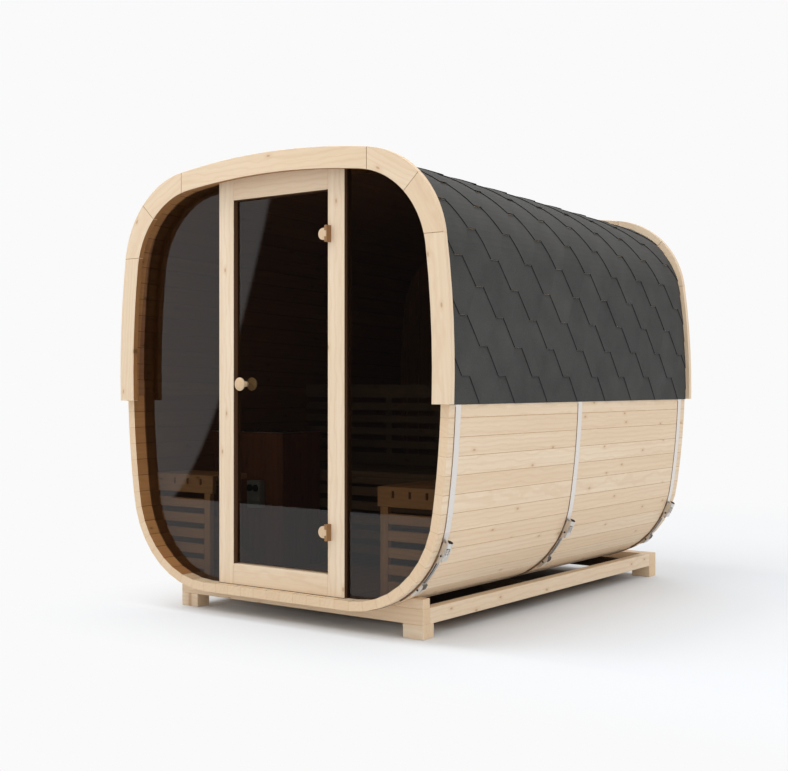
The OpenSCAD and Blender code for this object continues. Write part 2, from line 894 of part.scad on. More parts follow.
floor_staves();
floor_corner_right();
floor_corner_left();
wall_lower_right();
wall_lower_left();
wall_upper_right();
wall_upper_left();
roof_corner_right();
roof_corner_left();
roof_staves();
roof_shingles();
rear_wall();
front_trim_top();
front_trim_shoulders();
front_trim_corners();
front_trim_sides();
rear_trim_top();
rear_trim_shoulders();
rear_trim_corners();
rear_trim_sides();
door_jambs();
door_head();
door_sill();
side_glass();
door_glass();
door_knob();
hinge_blocks();
hinge_bars();
straps();
strap_clamps();
bench_right();
bench_left();
bench_ends();
bench_rear();
backrest();
guard_front();
guard_side();
heater();
control_box();
base_front_beam();
base_rear_beam();
base_side_beams();
base_joists();
cradle_wedges();
base_feet();
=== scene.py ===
# Garden sauna: a squared barrel of spruce staves with a shingled upper half, steel straps,
# a tinted glass front with a glass door, benches and heater inside, and a timber base.
# Metres. X runs across the front, Y runs to the rear, Z is up.
from math import asin, atan2, ceil, cos, pi, radians, sin, sqrt
from random import Random

import bmesh
import bpy
import numpy as np
from mathutils import Matrix, Vector


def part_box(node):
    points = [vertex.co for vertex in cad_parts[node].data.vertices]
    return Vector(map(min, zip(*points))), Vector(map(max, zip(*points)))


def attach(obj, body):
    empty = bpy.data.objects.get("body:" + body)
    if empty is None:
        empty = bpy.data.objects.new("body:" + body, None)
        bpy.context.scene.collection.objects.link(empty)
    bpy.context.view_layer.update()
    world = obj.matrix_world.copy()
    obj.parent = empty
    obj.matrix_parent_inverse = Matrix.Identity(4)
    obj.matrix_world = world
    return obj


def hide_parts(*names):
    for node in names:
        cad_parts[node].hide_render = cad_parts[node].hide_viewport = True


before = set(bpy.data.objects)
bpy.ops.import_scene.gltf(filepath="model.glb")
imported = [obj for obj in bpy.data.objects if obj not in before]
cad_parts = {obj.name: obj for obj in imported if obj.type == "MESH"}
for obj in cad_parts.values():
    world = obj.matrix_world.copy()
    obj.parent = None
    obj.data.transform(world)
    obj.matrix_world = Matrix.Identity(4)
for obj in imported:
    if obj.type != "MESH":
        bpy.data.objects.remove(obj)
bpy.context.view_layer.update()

# ---- sizes, as in the part
STAVE = 0.045
HALF = 1.050
Z_BOTTOM = 0.125
Z_FLOOR = Z_BOTTOM + STAVE
Z_WIDE = Z_BOTTOM + 1.128
Z_SPLIT = Z_BOTTOM + 1.000
Z_CROWN = Z_BOTTOM + 2.162
Z_SEAT = Z_FLOOR + 0.535
R_UPPER = 0.499
R_LOWER = 0.527
R_SIDE = 4.427
R_CROWN = 4.380
Y_FACE = -1.340
Y_SHELL = -1.310
Y_END = Y_SHELL + 2.514
FALL = radians(1.9)
SKIN = 0.008
SKIN_DROP = 0.028
Y_FRAME = Y_FACE + 0.079
Y_GLASS = Y_FRAME + 0.024
DOOR_HALF = 0.311
FRAME_HALF = DOOR_HALF + 0.102
Z_SILL = Z_FLOOR + 0.105
Z_HEAD = Z_SILL + 1.848
Z_HINGES = (Z_SILL + 0.204, Z_HEAD - 0.215)
STRAPS = (Y_SHELL + 0.072, Y_SHELL + 1.206, Y_END - 0.077)
STRAP_WIDTH = 0.042
STRAP_THICK = 0.002
CLAMP_HIGH = 24
CLAMP_LOW = 48


# ---- section of the shell
def heading(v):
    return atan2(v[1], v[0])


def meet(p, rp, q, rq):
    """Point where two circles cross, on the outer side."""
    gap = q - p
    d = gap.length
    a = (d * d + rp * rp - rq * rq) / (2 * d)
    u = gap / d
    return p + a * u + sqrt(rp * rp - a * a) * Vector((u[1], -u[0]))


CROWN = Vector((0, Z_CROWN - R_CROWN))
SIDE = Vector((HALF - R_SIDE, Z_WIDE))
UPPER = meet(CROWN, R_CROWN - R_UPPER, SIDE, R_SIDE - R_UPPER)
LOWER = Vector((SIDE[0] + sqrt((R_SIDE - R_LOWER) ** 2 - (Z_BOTTOM + R_LOWER - Z_WIDE) ** 2),
                Z_BOTTOM + R_LOWER))
A_CROWN = heading(UPPER - CROWN)
A_SHOULDER = heading(UPPER - SIDE)
A_HIP = heading(LOWER - SIDE)
RUN_CROWN = R_CROWN * (pi / 2 - A_CROWN)
RUN_SHOULDER = RUN_CROWN + R_UPPER * (A_CROWN - A_SHOULDER)
RUN_HIP = RUN_SHOULDER + R_SIDE * (A_SHOULDER - A_HIP)
RUN_FLOOR = RUN_HIP + R_LOWER * (A_HIP + pi / 2)
RUN_HALF = RUN_FLOOR + LOWER[0]
RUN_SPLIT = RUN_SHOULDER + R_SIDE * (A_SHOULDER - asin((Z_SPLIT - Z_WIDE) / R_SIDE))
STAVE_WIDTH = 0.088
UPPER_COUNT = round(RUN_SPLIT / STAVE_WIDTH)
UPPER_PITCH = RUN_SPLIT / UPPER_COUNT
LOWER_COUNT = round((RUN_HALF - RUN_SPLIT) / STAVE_WIDTH - 0.5)
LOWER_PITCH = (RUN_HALF - RUN_SPLIT) / (LOWER_COUNT + 0.5)


def place(run):
    """Place on the outer face at a run from the crown: x, z and outward angle."""
    if run < 0 or run > RUN_HALF:
        x, z, a = place(-run if run < 0 else 2 * RUN_HALF - run)
        return -x, z, pi - a
    for start, end, centre, radius, first in (
            (0, RUN_CROWN, CROWN, R_CROWN, pi / 2),
            (RUN_CROWN, RUN_SHOULDER, UPPER, R_UPPER, A_CROWN),
            (RUN_SHOULDER, RUN_HIP, SIDE, R_SIDE, A_SHOULDER),
            (RUN_HIP, RUN_FLOOR, LOWER, R_LOWER, A_HIP)):
        if run <= end:
            a = first - (run - start) / radius
            return centre[0] + radius * cos(a), centre[1] + radius * sin(a), a
    return RUN_HALF - run, Z_BOTTOM, -pi / 2


def inset(spot, depth):
    return spot[0] - depth * cos(spot[2]), spot[1] - depth * sin(spot[2])


SLOPE = (Matrix.Translation((0, Y_SHELL, Z_CROWN)) @ Matrix.Rotation(-FALL, 4, "X")
         @ Matrix.Translation((0, -Y_SHELL, -Z_CROWN)))


# ---- materials
def linear(code):
    """Linear colour from an sRGB hex code."""
    parts = [int(code[i:i + 2], 16) / 255 for i in (1, 3, 5)]
    return [c / 12.92 if c <= 0.04045 else ((c + 0.055) / 1.055) ** 2.4 for c in parts] + [1.0]


def add(tree, kind, inputs=None, stops=None, **settings):
    """Adds a shader node with its settings, input values or links, and ramp stops."""
    made = tree.nodes.new("ShaderNode" + kind)
    for name, value in settings.items():
        setattr(made, name, value)
    for name, value in (inputs or {}).items():
        if isinstance(value, bpy.types.NodeSocket):
            tree.links.new(value, made.inputs[name])
        else:
            made.inputs[name].default_value = value
    if stops:
        ramp = made.color_ramp
        while len(ramp.elements) < len(stops):
            ramp.elements.new(1.0)
        for element, (position, code) in zip(ramp.elements, stops):
            element.position = position
            element.color = linear(code) if isinstance(code, str) else (code, code, code, 1)
    return made


def blank(name):
    """A new material and its empty tree."""
    made = bpy.data.materials.new(name)
    made.use_nodes = True
    made.node_tree.nodes.clear()
    return made, made.node_tree


def material(name, **shader):
    """A new material with one Principled shader: returns it, its tree and the shader."""
    made, tree = blank(name)
    principled = add(tree, "BsdfPrincipled", shader)
    add(tree, "OutputMaterial", {"Surface": principled.outputs[0]})
    return made, tree, principled


def finish_with(tree, shader, colour, height, strength, depth):
    """Links the colour and a fine relief, depth in metres."""
    tree.links.new(colour, shader.inputs["Base Color"])
    bump = add(tree, "Bump", {"Height": height, "Strength": strength, "Distance": depth})
    tree.links.new(bump.outputs[0], shader.inputs["Normal"])


# Strength of each mark on a timber, the share of cells without a knot, and the start, end
# and strength of a knot's halo and heart; cells are 0.24 by 0.11 m
STREAK_SHARE = 0.30
RING_SHARE = 0.22
END_SHARE = 0.55
PLAIN_SHARE = 0.66
KNOT_HALO = (0.05, 0.17, 0.35)
KNOT_HEART = (0.030, 0.060, 0.60)


def timber(name, pale, warm, knot, end, line, lit_top_colour=None):
    """Planed softwood: long soft streaks, fine ring lines, small round knots, darker ends.

    The streaks are 14 mm wide and 0.8 m long. Ring lines are 3 mm apart in real spruce and
    are drawn 22 mm apart, so that they show. Knots are 7 to 13 mm across and twice as long.
    A board given a lit top colour is painted paler where it faces up, as painted light from
    above."""
    made, tree, shader = material(name, Roughness=0.62, IOR=1.5)
    grain = add(tree, "Attribute", attribute_name="grain").outputs["Vector"]
    lie = add(tree, "Attribute", attribute_name="lie").outputs["Vector"]
    tone = add(tree, "Attribute", attribute_name="tone").outputs["Fac"]
    face = add(tree, "TexCoord").outputs["Normal"]
    drift, stretch, rings, cells = (
        add(tree, "Mapping", {"Vector": grain, "Scale": scale}).outputs[0]
        for scale in ((0.9, 9, 9), (1.2, 70, 70), (0.35, 1, 1), (4.2, 9.0, 1)))
    broad = add(tree, "TexNoise", {"Vector": drift, "Scale": 1.0, "Detail": 2.0})
    streak = add(tree, "TexNoise", {"Vector": stretch, "Scale": 1.0, "Detail": 4.0,
                                    "Roughness": 0.6})
    bands = add(tree, "TexWave", {"Vector": rings, "Scale": 14.0, "Distortion": 5.0,
                                  "Detail": 2.0, "Detail Scale": 1.4},
                wave_type="RINGS", rings_direction="X")
    ring = add(tree, "ValToRGB", {"Fac": bands.outputs["Fac"]}, stops=[(0.55, 0.0), (1.0, 1.0)])
    spots = add(tree, "TexVoronoi", {"Vector": cells, "Scale": 1.0, "Randomness": 1.0},
                voronoi_dimensions="2D")
    pick = add(tree, "SeparateColor", {"Color": spots.outputs["Color"]})
    knotty = add(tree, "Math", {0: pick.outputs[0], 1: PLAIN_SHARE}, operation="GREATER_THAN")
    layers = [(tone, warm), (broad.outputs["Fac"], warm)]
    # Painted light: the board turns paler where it faces up
    if lit_top_colour:
        upward = add(tree, "SeparateXYZ", {0: face}).outputs["Z"]
        painted_top_light = add(tree, "MapRange", {"Value": upward, "From Min": 0.925,
                                             "From Max": 0.995})
        layers.append((painted_top_light.outputs[0], lit_top_colour))
    soft = add(tree, "MapRange", {"Value": streak.outputs["Fac"], "From Min": 0.35,
                                  "From Max": 0.75, "To Max": STREAK_SHARE})
    fine = add(tree, "Math", {0: ring.outputs["Color"], 1: RING_SHARE}, operation="MULTIPLY")
    layers += [(soft.outputs[0], line), (fine.outputs[0], line)]
    for near, far, strength, colour in (KNOT_HALO + (line,), KNOT_HEART + (knot,)):
        spread = add(tree, "MapRange", {"Value": spots.outputs["Distance"], "From Min": near,
                                        "From Max": far, "To Min": strength, "To Max": 0.0})
        mark = add(tree, "Math", {0: spread.outputs[0], 1: knotty.outputs[0]},
                   operation="MULTIPLY")
        layers.append((mark.outputs[0], colour))
    along = add(tree, "VectorMath", {0: lie, 1: face}, operation="DOT_PRODUCT")
    square = add(tree, "Math", {0: along.outputs["Value"]}, operation="ABSOLUTE")
    sawn = add(tree, "MapRange", {"Value": square.outputs[0], "From Min": 0.8,
                                  "From Max": 0.95, "To Max": END_SHARE})
    layers.append((sawn.outputs[0], end))
    base = linear(pale)
    for share, colour in layers:
        base = add(tree, "Mix", {0: share, 6: base, 7: linear(colour)},
                   data_type="RGBA").outputs[2]
    finish_with(tree, shader, base, streak.outputs["Fac"], 0.25, 0.0008)
    return made


def mineral(name, dark, light, lit_top_tint):
    """Slate granules pressed into bitumen felt: 1 mm grit, drawn 6 mm, with soft clouding.

    The felt is painted a little paler where it faces up, as painted light from above."""
    made, tree, shader = material(name, Roughness=0.95, IOR=1.45)
    where = add(tree, "TexCoord")
    tone = add(tree, "Attribute", attribute_name="tone").outputs["Fac"]
    grit, cloud = (add(tree, "TexNoise", {"Vector": where.outputs["Object"], "Scale": scale,
                                          "Detail": detail}).outputs["Fac"]
                   for scale, detail in ((170.0, 2.0), (7.0, 3.0)))
    level = add(tree, "Mix", {0: 0.5, 2: grit, 3: cloud}, data_type="FLOAT").outputs[0]
    level = add(tree, "Mix", {0: 0.10, 2: level, 3: tone}, data_type="FLOAT").outputs[0]
    ramp = add(tree, "ValToRGB", {"Fac": level}, stops=[(0.25, dark), (0.75, light)])
    upward = add(tree, "SeparateXYZ", {0: where.outputs["Normal"]}).outputs["Z"]
    painted_top_light = add(tree, "MapRange", {"Value": upward, "From Min": 0.05, "From Max": 0.80,
                                         "To Max": 0.5})
    base = add(tree, "Mix", {0: painted_top_light.outputs[0], 6: ramp.outputs[0], 7: linear(lit_top_tint)},
               data_type="RGBA").outputs[2]
    finish_with(tree, shader, base, grit, 0.35, 0.0012)
    return made


def metal(name, code, rough, scale, spread):
    """Sheet or bar metal with soft cloudy roughness from rolling and handling."""
    made, tree, shader = material(name, **{"Metallic": 1.0, "Base Color": linear(code)})
    cloud = add(tree, "TexNoise", {"Vector": add(tree, "TexCoord").outputs["Object"],
                                   "Scale": scale, "Detail": 3.0})
    rough_at = add(tree, "MapRange", {"Value": cloud.outputs["Fac"], "To Min": rough - spread,
                                      "To Max": rough + spread})
    tree.links.new(rough_at.outputs[0], shader.inputs["Roughness"])
    return made


def plain(name, code, second, rough, scale=40.0):
    """Moulded, painted or cast surface with a slight mottle between two close colours."""
    made, tree, shader = material(name, Roughness=rough, IOR=1.5)
    cloud = add(tree, "TexNoise", {"Vector": add(tree, "TexCoord").outputs["Object"],
                                   "Scale": scale, "Detail": 3.0}).outputs["Fac"]
    ramp = add(tree, "ValToRGB", {"Fac": cloud}, stops=[(0.35, code), (0.65, second)])
    finish_with(tree, shader, ramp.outputs[0], cloud, 0.15, 0.0005)
    return made


def tinted_glass(name, tint):
    """Toughened float glass, smoke tinted right through, polished: mirrors at a slant."""
    made, tree = blank(name)
    through = add(tree, "BsdfTransparent", {"Color": linear(tint)})
    gloss = add(tree, "BsdfGlossy", {"Roughness": 0.0})
    entering = add(tree, "Math", {0: 1.0, 1: add(tree, "NewGeometry").outputs["Backfacing"]},
                   operation="SUBTRACT")
    mirror = add(tree, "Fresnel", {"IOR": 1.52})
    share = add(tree, "Math", {0: mirror.outputs[0], 1: entering.outputs[0]},
                operation="MULTIPLY")
    both = add(tree, "MixShader", {0: share.outputs[0], 1: through.outputs[0],
                                   2: gloss.outputs[0]})
    add(tree, "OutputMaterial", {"Surface": both.outputs[0]})
    return made


# Planed spruce: matt and pale, with warm streaks and small brown knots
SPRUCE = timber("planed_spruce", "#F0E0C8", "#E2C8A8", "#B0845A", "#DDBE98", "#D0AC84")
# Spruce on the rear reveals, painted a deeper honey colour for the shade in them
REAR_REVEAL_SHADE = timber("rear_reveal_painted_shade", "#DDBD92", "#CDA878", "#A07246", "#C9A272", "#BC9464")
# Spruce inside the porch: brown in the shade, pale where the light falls on it
PORCH = timber("shaded_spruce_reveal", "#B98650", "#A37042", "#5A3A20", "#94683C",
               "#8A5E34", "#E2CBAA")
# Spruce of the hinge bars, painted an even mid brown for the shade beside the blocks
HINGE_BAR_SHADE = timber("hinge_bar_painted_shade", "#A67C4E", "#946A40", "#5A3A20", "#8A6238", "#7E5830")
# Spruce of the cabin walls, painted warm brown and a little dark for the shade inside
CABIN_WALL_SHADE = timber("spruce_inside_painted_shade", "#9A6E48", "#84583A", "#4A2E1A", "#7A5234", "#6A452C")
# Planed aspen of the side seats, painted a darker tan for the dim cabin, with few marks
SHADE_SPRUCE = timber("bench_aspen_painted_shade", "#C8A27E", "#B28A66", "#6A3F20", "#A67E58", "#9C7450")
# Spruce on the frame reveals, painted dark brown for the shade in them
FRAME_REVEAL_SHADE = timber("frame_reveal_painted_shade", "#6A4A30", "#5C3E28", "#3A2414", "#54381F", "#4C321C")
# Aspen at the rear of the cabin, painted grey brown for the deeper shade there
DEEP_SPRUCE = timber("rear_aspen_painted_shade", "#7C6854", "#6E5A46", "#3E2A1A", "#64503C", "#5C4834")
# Joists under the floor, painted very dark brown for the shade there
JOIST_SHADE = timber("joist_painted_shade", "#4E3A28", "#443020", "#2A1C12", "#402E1E", "#3A281A")
# Turned beech of the knob and hinge blocks: pale, with soft lines
BEECH = timber("turned_beech", "#E8D0B0", "#D8BC98", "#A88058", "#D2B088", "#C8A680")
# Heat treated aspen of the heater guard: red brown
GUARD_TIMBER = timber("heat_treated_aspen", "#8A5436", "#74432A", "#3A2014", "#6A3C26", "#55301E")
# Timber in the joints, shaded by the boards beside it: soft brown lines
JOINT = plain("shaded_v_joint", "#CDAB84", "#BE9A70", 0.8)
DARK_JOINT = plain("dark_butt_joint", "#4E3420", "#5C4028", 0.8)
BOARD_JOINT = plain("brown_butt_joint", "#8E6A46", "#9C7650", 0.8)
# Slate felt: dull dark grey with a fine speckle, painted paler on top as painted light from above
FELT = mineral("slate_felt", "#313130", "#4C4B49", "#595856")
# Cut edge of the felt: bare black bitumen, drawn darker to paint the shade under each tab
FELT_EDGE = plain("bitumen_edge_and_tab_shade", "#121212", "#1B1B1B", 0.8)
# Rolled stainless steel: bright, with broad soft highlights
STEEL = metal("rolled_stainless", "#E2DCD6", 0.30, 30.0, 0.08)
# Zinc plate: light grey with a clouded shine
ZINC = metal("zinc_plated_steel", "#DAD6D1", 0.34, 90.0, 0.12)
# Black of the dials, and nearly black sheets painted into sockets, tube mouths and gaps as their
# shade: no shine
DIAL_BLACK_AND_SHADE = plain("black_dial_and_recess_shade", "#17130F", "#211B16", 0.9)
# Dull brown strips painted beside the straps for their dark edges and the shade under the clamps
STRAP_SHADE = plain("strap_painted_shade", "#7A5C42", "#8A6A4C", 0.8)
# Extruded rubber: dull black; the same black also paints the contact shadow under the sill
SEAL_AND_SILL_SHADE = plain("black_seal_and_sill_shade", "#14110E", "#1F1A16", 0.75)
# Powder coat: mid grey with a low even sheen
PAINT = plain("grey_powder_coat", "#7F8890", "#8A939B", 0.45, 300.0)
# Split olivine: rough and nearly black
STONE = plain("olivine_stone", "#2C2B2A", "#4A4846", 0.9, 25.0)
# Smoke tinted glass: darkens what is behind it and mirrors at a slant
GLASS = tinted_glass("smoke_tinted_glass", "#D2CDC4")


# ---- mesh helpers
def ease(bm, width, segments=1, sharp=20.0, edges=None):
    """Rounds or chamfers every edge that turns more than sharp degrees."""
    chosen = [e for e in (edges if edges is not None else bm.edges)
              if len(e.link_faces) == 2 and e.calc_face_angle(0.0) > radians(sharp)]
    return bmesh.ops.bevel(bm, geom=chosen, offset=width, offset_type="OFFSET",
                           segments=segments, profile=0.5, affect="EDGES",
                           clamp_overlap=True, material=-1)["faces"]


def slice_at(bm, point, normal, **more):
    """Divides every face at a plane."""
    bmesh.ops.bisect_plane(bm, geom=bm.verts[:] + bm.edges[:] + bm.faces[:],
                           plane_co=point, plane_no=normal, **more)


def cut(bm, point, normal):
    """Removes what lies beyond a plane and closes the cut."""
    slice_at(bm, point, normal, clear_outer=True, dist=1e-6)
    rim = [e for e in bm.edges if e.is_boundary]
    if rim:
        bmesh.ops.holes_fill(bm, edges=rim, sides=0)


def move(bm, matrix):
    bmesh.ops.transform(bm, matrix=matrix, verts=bm.verts[:])
    return bm


def orient(bm):
    """Turns every face outward."""
    bmesh.ops.recalc_face_normals(bm, faces=bm.faces[:])
    return bm


def nudge(bm, geometry, step):
    """Moves the vertices among newly made geometry."""
    bmesh.ops.translate(bm, vec=step, verts=[v for v in geometry
                                             if isinstance(v, bmesh.types.BMVert)])


def sweep(bm, step):
    """Gives a flat sheet a thickness of one step."""
    nudge(bm, bmesh.ops.extrude_face_region(bm, geom=bm.faces[:])["geom"], step)


def box(low, high, width=0.0015, segments=1):
    """A squared board or block with eased edges."""
    bm = bmesh.new()
    low, high = Vector(low), Vector(high)
    bmesh.ops.create_cube(bm, size=1.0, matrix=Matrix.Translation((low + high) / 2)
                          @ Matrix.Diagonal([*(high - low), 1]))
    if width:
        ease(bm, width, segments)
    return bm


def prism(outline, y0, y1):
    """An outline in (x, z) swept from y0 to y1."""
    bm = bmesh.new()
    bm.faces.new([bm.verts.new((x, y0, z)) for x, z in outline])
    sweep(bm, (0, y1 - y0, 0))
    return orient(bm)


def aim(centre, axis):
    """Matrix that carries an upright shape to a centre and along an axis."""
    return Matrix.Translation(centre) @ axis.to_track_quat("Z", "Y").to_matrix().to_4x4()


def rod(a, b, radius, sides=16, width=0.0):
    """A round bar from a to b."""
    a, b = Vector(a), Vector(b)
    bm = bmesh.new()
    bmesh.ops.create_cone(bm, cap_ends=True, segments=sides, radius1=radius, radius2=radius,
                          depth=(b - a).length, matrix=aim((a + b) / 2, b - a))
    if width:
        ease(bm, width, 2, 40.0)
    return bm


def turned(profile, centre, axis, sides=40):
    """A smooth turned piece: profile is (radius, distance along the axis), end to end."""
    bm = bmesh.new()
    spots = [bm.verts.new((r, 0, d)) for r, d in profile]
    edges = [bm.edges.new(pair) for pair in zip(spots, spots[1:])]
    bmesh.ops.spin(bm, geom=spots + edges, cent=(0, 0, 0), axis=(0, 0, 1), angle=2 * pi,
                   steps=sides, use_merge=True)
    bmesh.ops.remove_doubles(bm, verts=bm.verts[:], dist=1e-6)
    return shade(move(orient(bm), aim(centre, Vector(axis))))


def copied(node):
    """The shape of a CAD node with its triangles merged back into flat faces."""
    bm = bmesh.new()
    bm.from_mesh(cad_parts[node].data)
    bmesh.ops.remove_doubles(bm, verts=bm.verts[:], dist=2e-6)
    bmesh.ops.dissolve_limit(bm, angle_limit=radians(0.5), verts=bm.verts[:],
                             edges=bm.edges[:], use_dissolve_boundaries=False)
    return bm


def shade(bm):
    """Marks every face as smooth."""
    for face in bm.faces:
        face.smooth = True
    return bm


def islands(bm):
    """Vertices of each loose part of a mesh."""
    seen = set()
    for first in bm.verts:
        if first in seen:
            continue
        group, queue = [], [first]
        seen.add(first)
        while queue:
            vert = queue.pop()
            group.append(vert)
            for edge in vert.link_edges:
                other = edge.other_vert(vert)
                if other not in seen:
                    seen.add(other)
                    queue.append(other)
        yield group


def lay_grain(bm, draw, along=None):
    """Gives each board its own grain direction, place in the log, and tone."""
    grain = bm.verts.layers.float_vector.new("grain")
    lie = bm.verts.layers.float_vector.new("lie")
    tone = bm.verts.layers.float.new("tone")
    for group in islands(bm):
        spots = np.array([v.co for v in group])
        middle = spots.mean(0)
        axes = np.linalg.eigh(np.cov((spots - middle).T))[1][:, ::-1].T
        if along is not None:
            axes[0] = along
            axes[1] -= axes[0] * axes[1].dot(axes[0])
            if np.linalg.norm(axes[1]) < 0.1:
                axes[1] = axes[2] - axes[0] * axes[2].dot(axes[0])
            axes[1] /= np.linalg.norm(axes[1])
            axes[2] = np.cross(axes[0], axes[1])
        shift = [draw.uniform(0, 20), draw.uniform(0.3, 3), draw.uniform(0.3, 3)]
        shade_of_board = draw.random()
        for vert, spot in zip(group, (spots - middle) @ axes.T + shift):
            vert[grain] = spot
            vert[lie] = axes[0]
            vert[tone] = shade_of_board


def as_object(name, bm, finishes):
    """Puts a mesh into the scene as an object with its materials."""
    mesh = bpy.data.meshes.new(name)
    bm.to_mesh(mesh)
    bm.free()
    for finish in finishes:
        mesh.materials.append(finish)
    made = bpy.data.objects.new(name, mesh)
    bpy.context.scene.collection.objects.link(made)
    return made


def piece(name, parts, body, materials, replaced=(), seed=None, along=None):
    """Joins parts into one object that rides on a body. Each part is a bmesh, or a bmesh
    with the number of its material."""
    whole = bmesh.new()
    for part in parts:
        bm, number = part if isinstance(part, tuple) else (part, 0)
        if number:
            for face in bm.faces:
                face.material_index = number
        part_mesh = bpy.data.meshes.new("part")
        bm.to_mesh(part_mesh)
        bm.free()
        whole.from_mesh(part_mesh)
        bpy.data.meshes.remove(part_mesh)
    if seed is not None:
        lay_grain(whole, Random(seed), along)
    made = as_object(name, whole, materials)
    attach(made, body)
    if replaced:
        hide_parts(*replaced)


# ---- shell
# A stave's faces by number: outside and ends, outer joints, inside (painted shade), porch
# (painted shade and light), inner joints
STAVE_FINISHES = [SPRUCE, JOINT, CABIN_WALL_SHADE, PORCH, DARK_JOINT]
STAVE_CHAMFER = 0.0013


def stave(first, last, y0, y1):
    """One stave between two runs, chamfered where it meets its neighbours."""
    outer = [place(first), place(last)]
    bm = prism([inset(outer[0], 0), inset(outer[1], 0),
                inset(outer[1], STAVE), inset(outer[0], STAVE)], y0, y1)
    outward = Vector((sum(cos(o[2]) for o in outer), 0, sum(sin(o[2]) for o in outer)))
    outward.normalize()
    slice_at(bm, (0, Y_GLASS, 0), (0, 1, 0))
    # Inward faces are painted: dark brown shade in the cabin, shade and light in the porch
    for face in bm.faces:
        if face.normal.dot(outward) < -0.7:
            face.material_index = 3 if face.calc_center_median().y < Y_GLASS else 2
    long_edges = [e for e in bm.edges if abs(e.verts[0].co.y - e.verts[1].co.y) > 0.02]
    for face in ease(bm, STAVE_CHAMFER, edges=long_edges):
        face.material_index = 1 if face.normal.dot(outward) > -0.3 else 4
    ends = [e for e in bm.edges if max(v.co.y for v in e.verts) < y0 + 0.0001
            and e.calc_length() > 0.03
            and all(abs(f.normal.dot(outward)) < 0.5 for f in e.link_faces)]
    for face in ease(bm, STAVE_CHAMFER / 2, edges=ends):
        face.material_index = 1
    return bm


def lower_shell():
    """Staves of the floor and lower walls; the first and last are cut level at the split."""
    parts = []
    for i in range(2 * LOWER_COUNT + 1):
        bm = stave(RUN_SPLIT + i * LOWER_PITCH, RUN_SPLIT + (i + 1) * LOWER_PITCH,
                   Y_SHELL, Y_END)
        if i in (0, 2 * LOWER_COUNT):
            cut(bm, (0, 0, Z_SPLIT), (0, 0, 1))
        parts.append(bm)
    piece("lower_staves", parts, "sauna", STAVE_FINISHES,
          ["floor_staves", "floor_corner_right", "floor_corner_left", "wall_lower_right",
           "wall_lower_left"], seed=11, along=(0, 1, 0))


def upper_shell():
    """Staves tilted with the roof; the lowest reach past the split and are cut level."""
    parts = []
    spare = 0.09
    for i in range(-UPPER_COUNT, UPPER_COUNT):
        first = i * UPPER_PITCH - (spare if i == -UPPER_COUNT else 0)
        last = (i + 1) * UPPER_PITCH + (spare if i == UPPER_COUNT - 1 else 0)
        bm = move(stave(first, last, Y_SHELL - 0.1, Y_END + 0.1), SLOPE)
        cut(bm, (0, Y_SHELL, 0), (0, -1, 0))
        cut(bm, (0, Y_END, 0), (0, 1, 0))
        cut(bm, (0, 0, Z_SPLIT), (0, 0, -1))
        if bm.faces:
            parts.append(bm)
    piece("upper_staves", parts, "sauna", STAVE_FINISHES,
          ["wall_upper_right", "wall_upper_left", "roof_corner_right", "roof_corner_left",
           "roof_staves"], seed=12, along=(0, cos(FALL), -sin(FALL)))


# ---- shingles
COURSE = 0.1365
FIRST_COURSE = -0.008
TAB_PITCH = 0.308
TAB_FOOT = 0.065
TAB_START = 0.123
TAB_DRIFT = -0.0035
FELT_THICK = 0.004
TILE_BENDS = 8
CAP_LENGTH = 0.26
CAP_STEP = 0.17
CAP_REACH = 0.16
CAP_THICK = 0.003


def on_roof(run, y, lift):
    """Point at a run from the crown and a lift off the sloping shell, at a true y."""
    x, z = inset(place(run), -lift)
    drop = z - Z_CROWN
    back = ((y - Y_SHELL) - drop * sin(FALL)) / cos(FALL)
    return Vector((x, y, Z_CROWN - back * sin(FALL) + drop * cos(FALL)))


def eave_run(y):
    """Run at which the sloping shell crosses the level lower edge of the shingles."""
    low, high = RUN_SHOULDER, RUN_SPLIT + 0.15
    for _ in range(30):
        middle = (low + high) / 2
        if on_roof(middle, y, SKIN).z > Z_SPLIT - SKIN_DROP:
            low = middle
        else:
            high = middle
    return low


EAVE_FRONT = eave_run(Y_SHELL)
EAVE_REAR = eave_run(Y_END)


def thicken(bm):
    """Makes a flat sheet one unit thick and marks the faces round its edge."""
    sweep(bm, (0, 0, 1))
    for face in bm.faces:
        face.material_index = int(len({round(v.co.z) for v in face.verts}) == 2)


def tile(points, foot, side):
    """A flat tile in (y, height up the slope), given thickness and bent over the shell."""
    length = 2 * COURSE
    bm = bmesh.new()
    bm.faces.new([bm.verts.new((y, s, 0)) for y, s in points])
    for k in range(1, TILE_BENDS):
        slice_at(bm, (0, foot + length * k / TILE_BENDS, 0), (0, 1, 0), dist=1e-6)
    ridge = Vector((EAVE_REAR - EAVE_FRONT, -(Y_END - Y_SHELL), 0))
    for spot, normal in (((0, 0, 0), (0, -1, 0)), ((Y_SHELL, 0, 0), (-1, 0, 0)),
                         ((Y_END, 0, 0), (1, 0, 0)), ((Y_SHELL, EAVE_FRONT, 0), -ridge)):
        slice_at(bm, spot, normal, clear_outer=True, dist=1e-6)
    if not bm.faces:
        bm.free()
        return None
    thicken(bm)
    for vert in bm.verts:
        y, s, up = vert.co
        share = min(max((s - foot) / length, 0), 1)
        lift = SKIN * (1 - share) - (0 if up > 0.5 else FELT_THICK * (1 - 0.9 * share))
        spot = on_roof(eave_run(y) - s, y, lift)
        vert.co = (side * spot.x, spot.y, spot.z)
    return orient(bm)


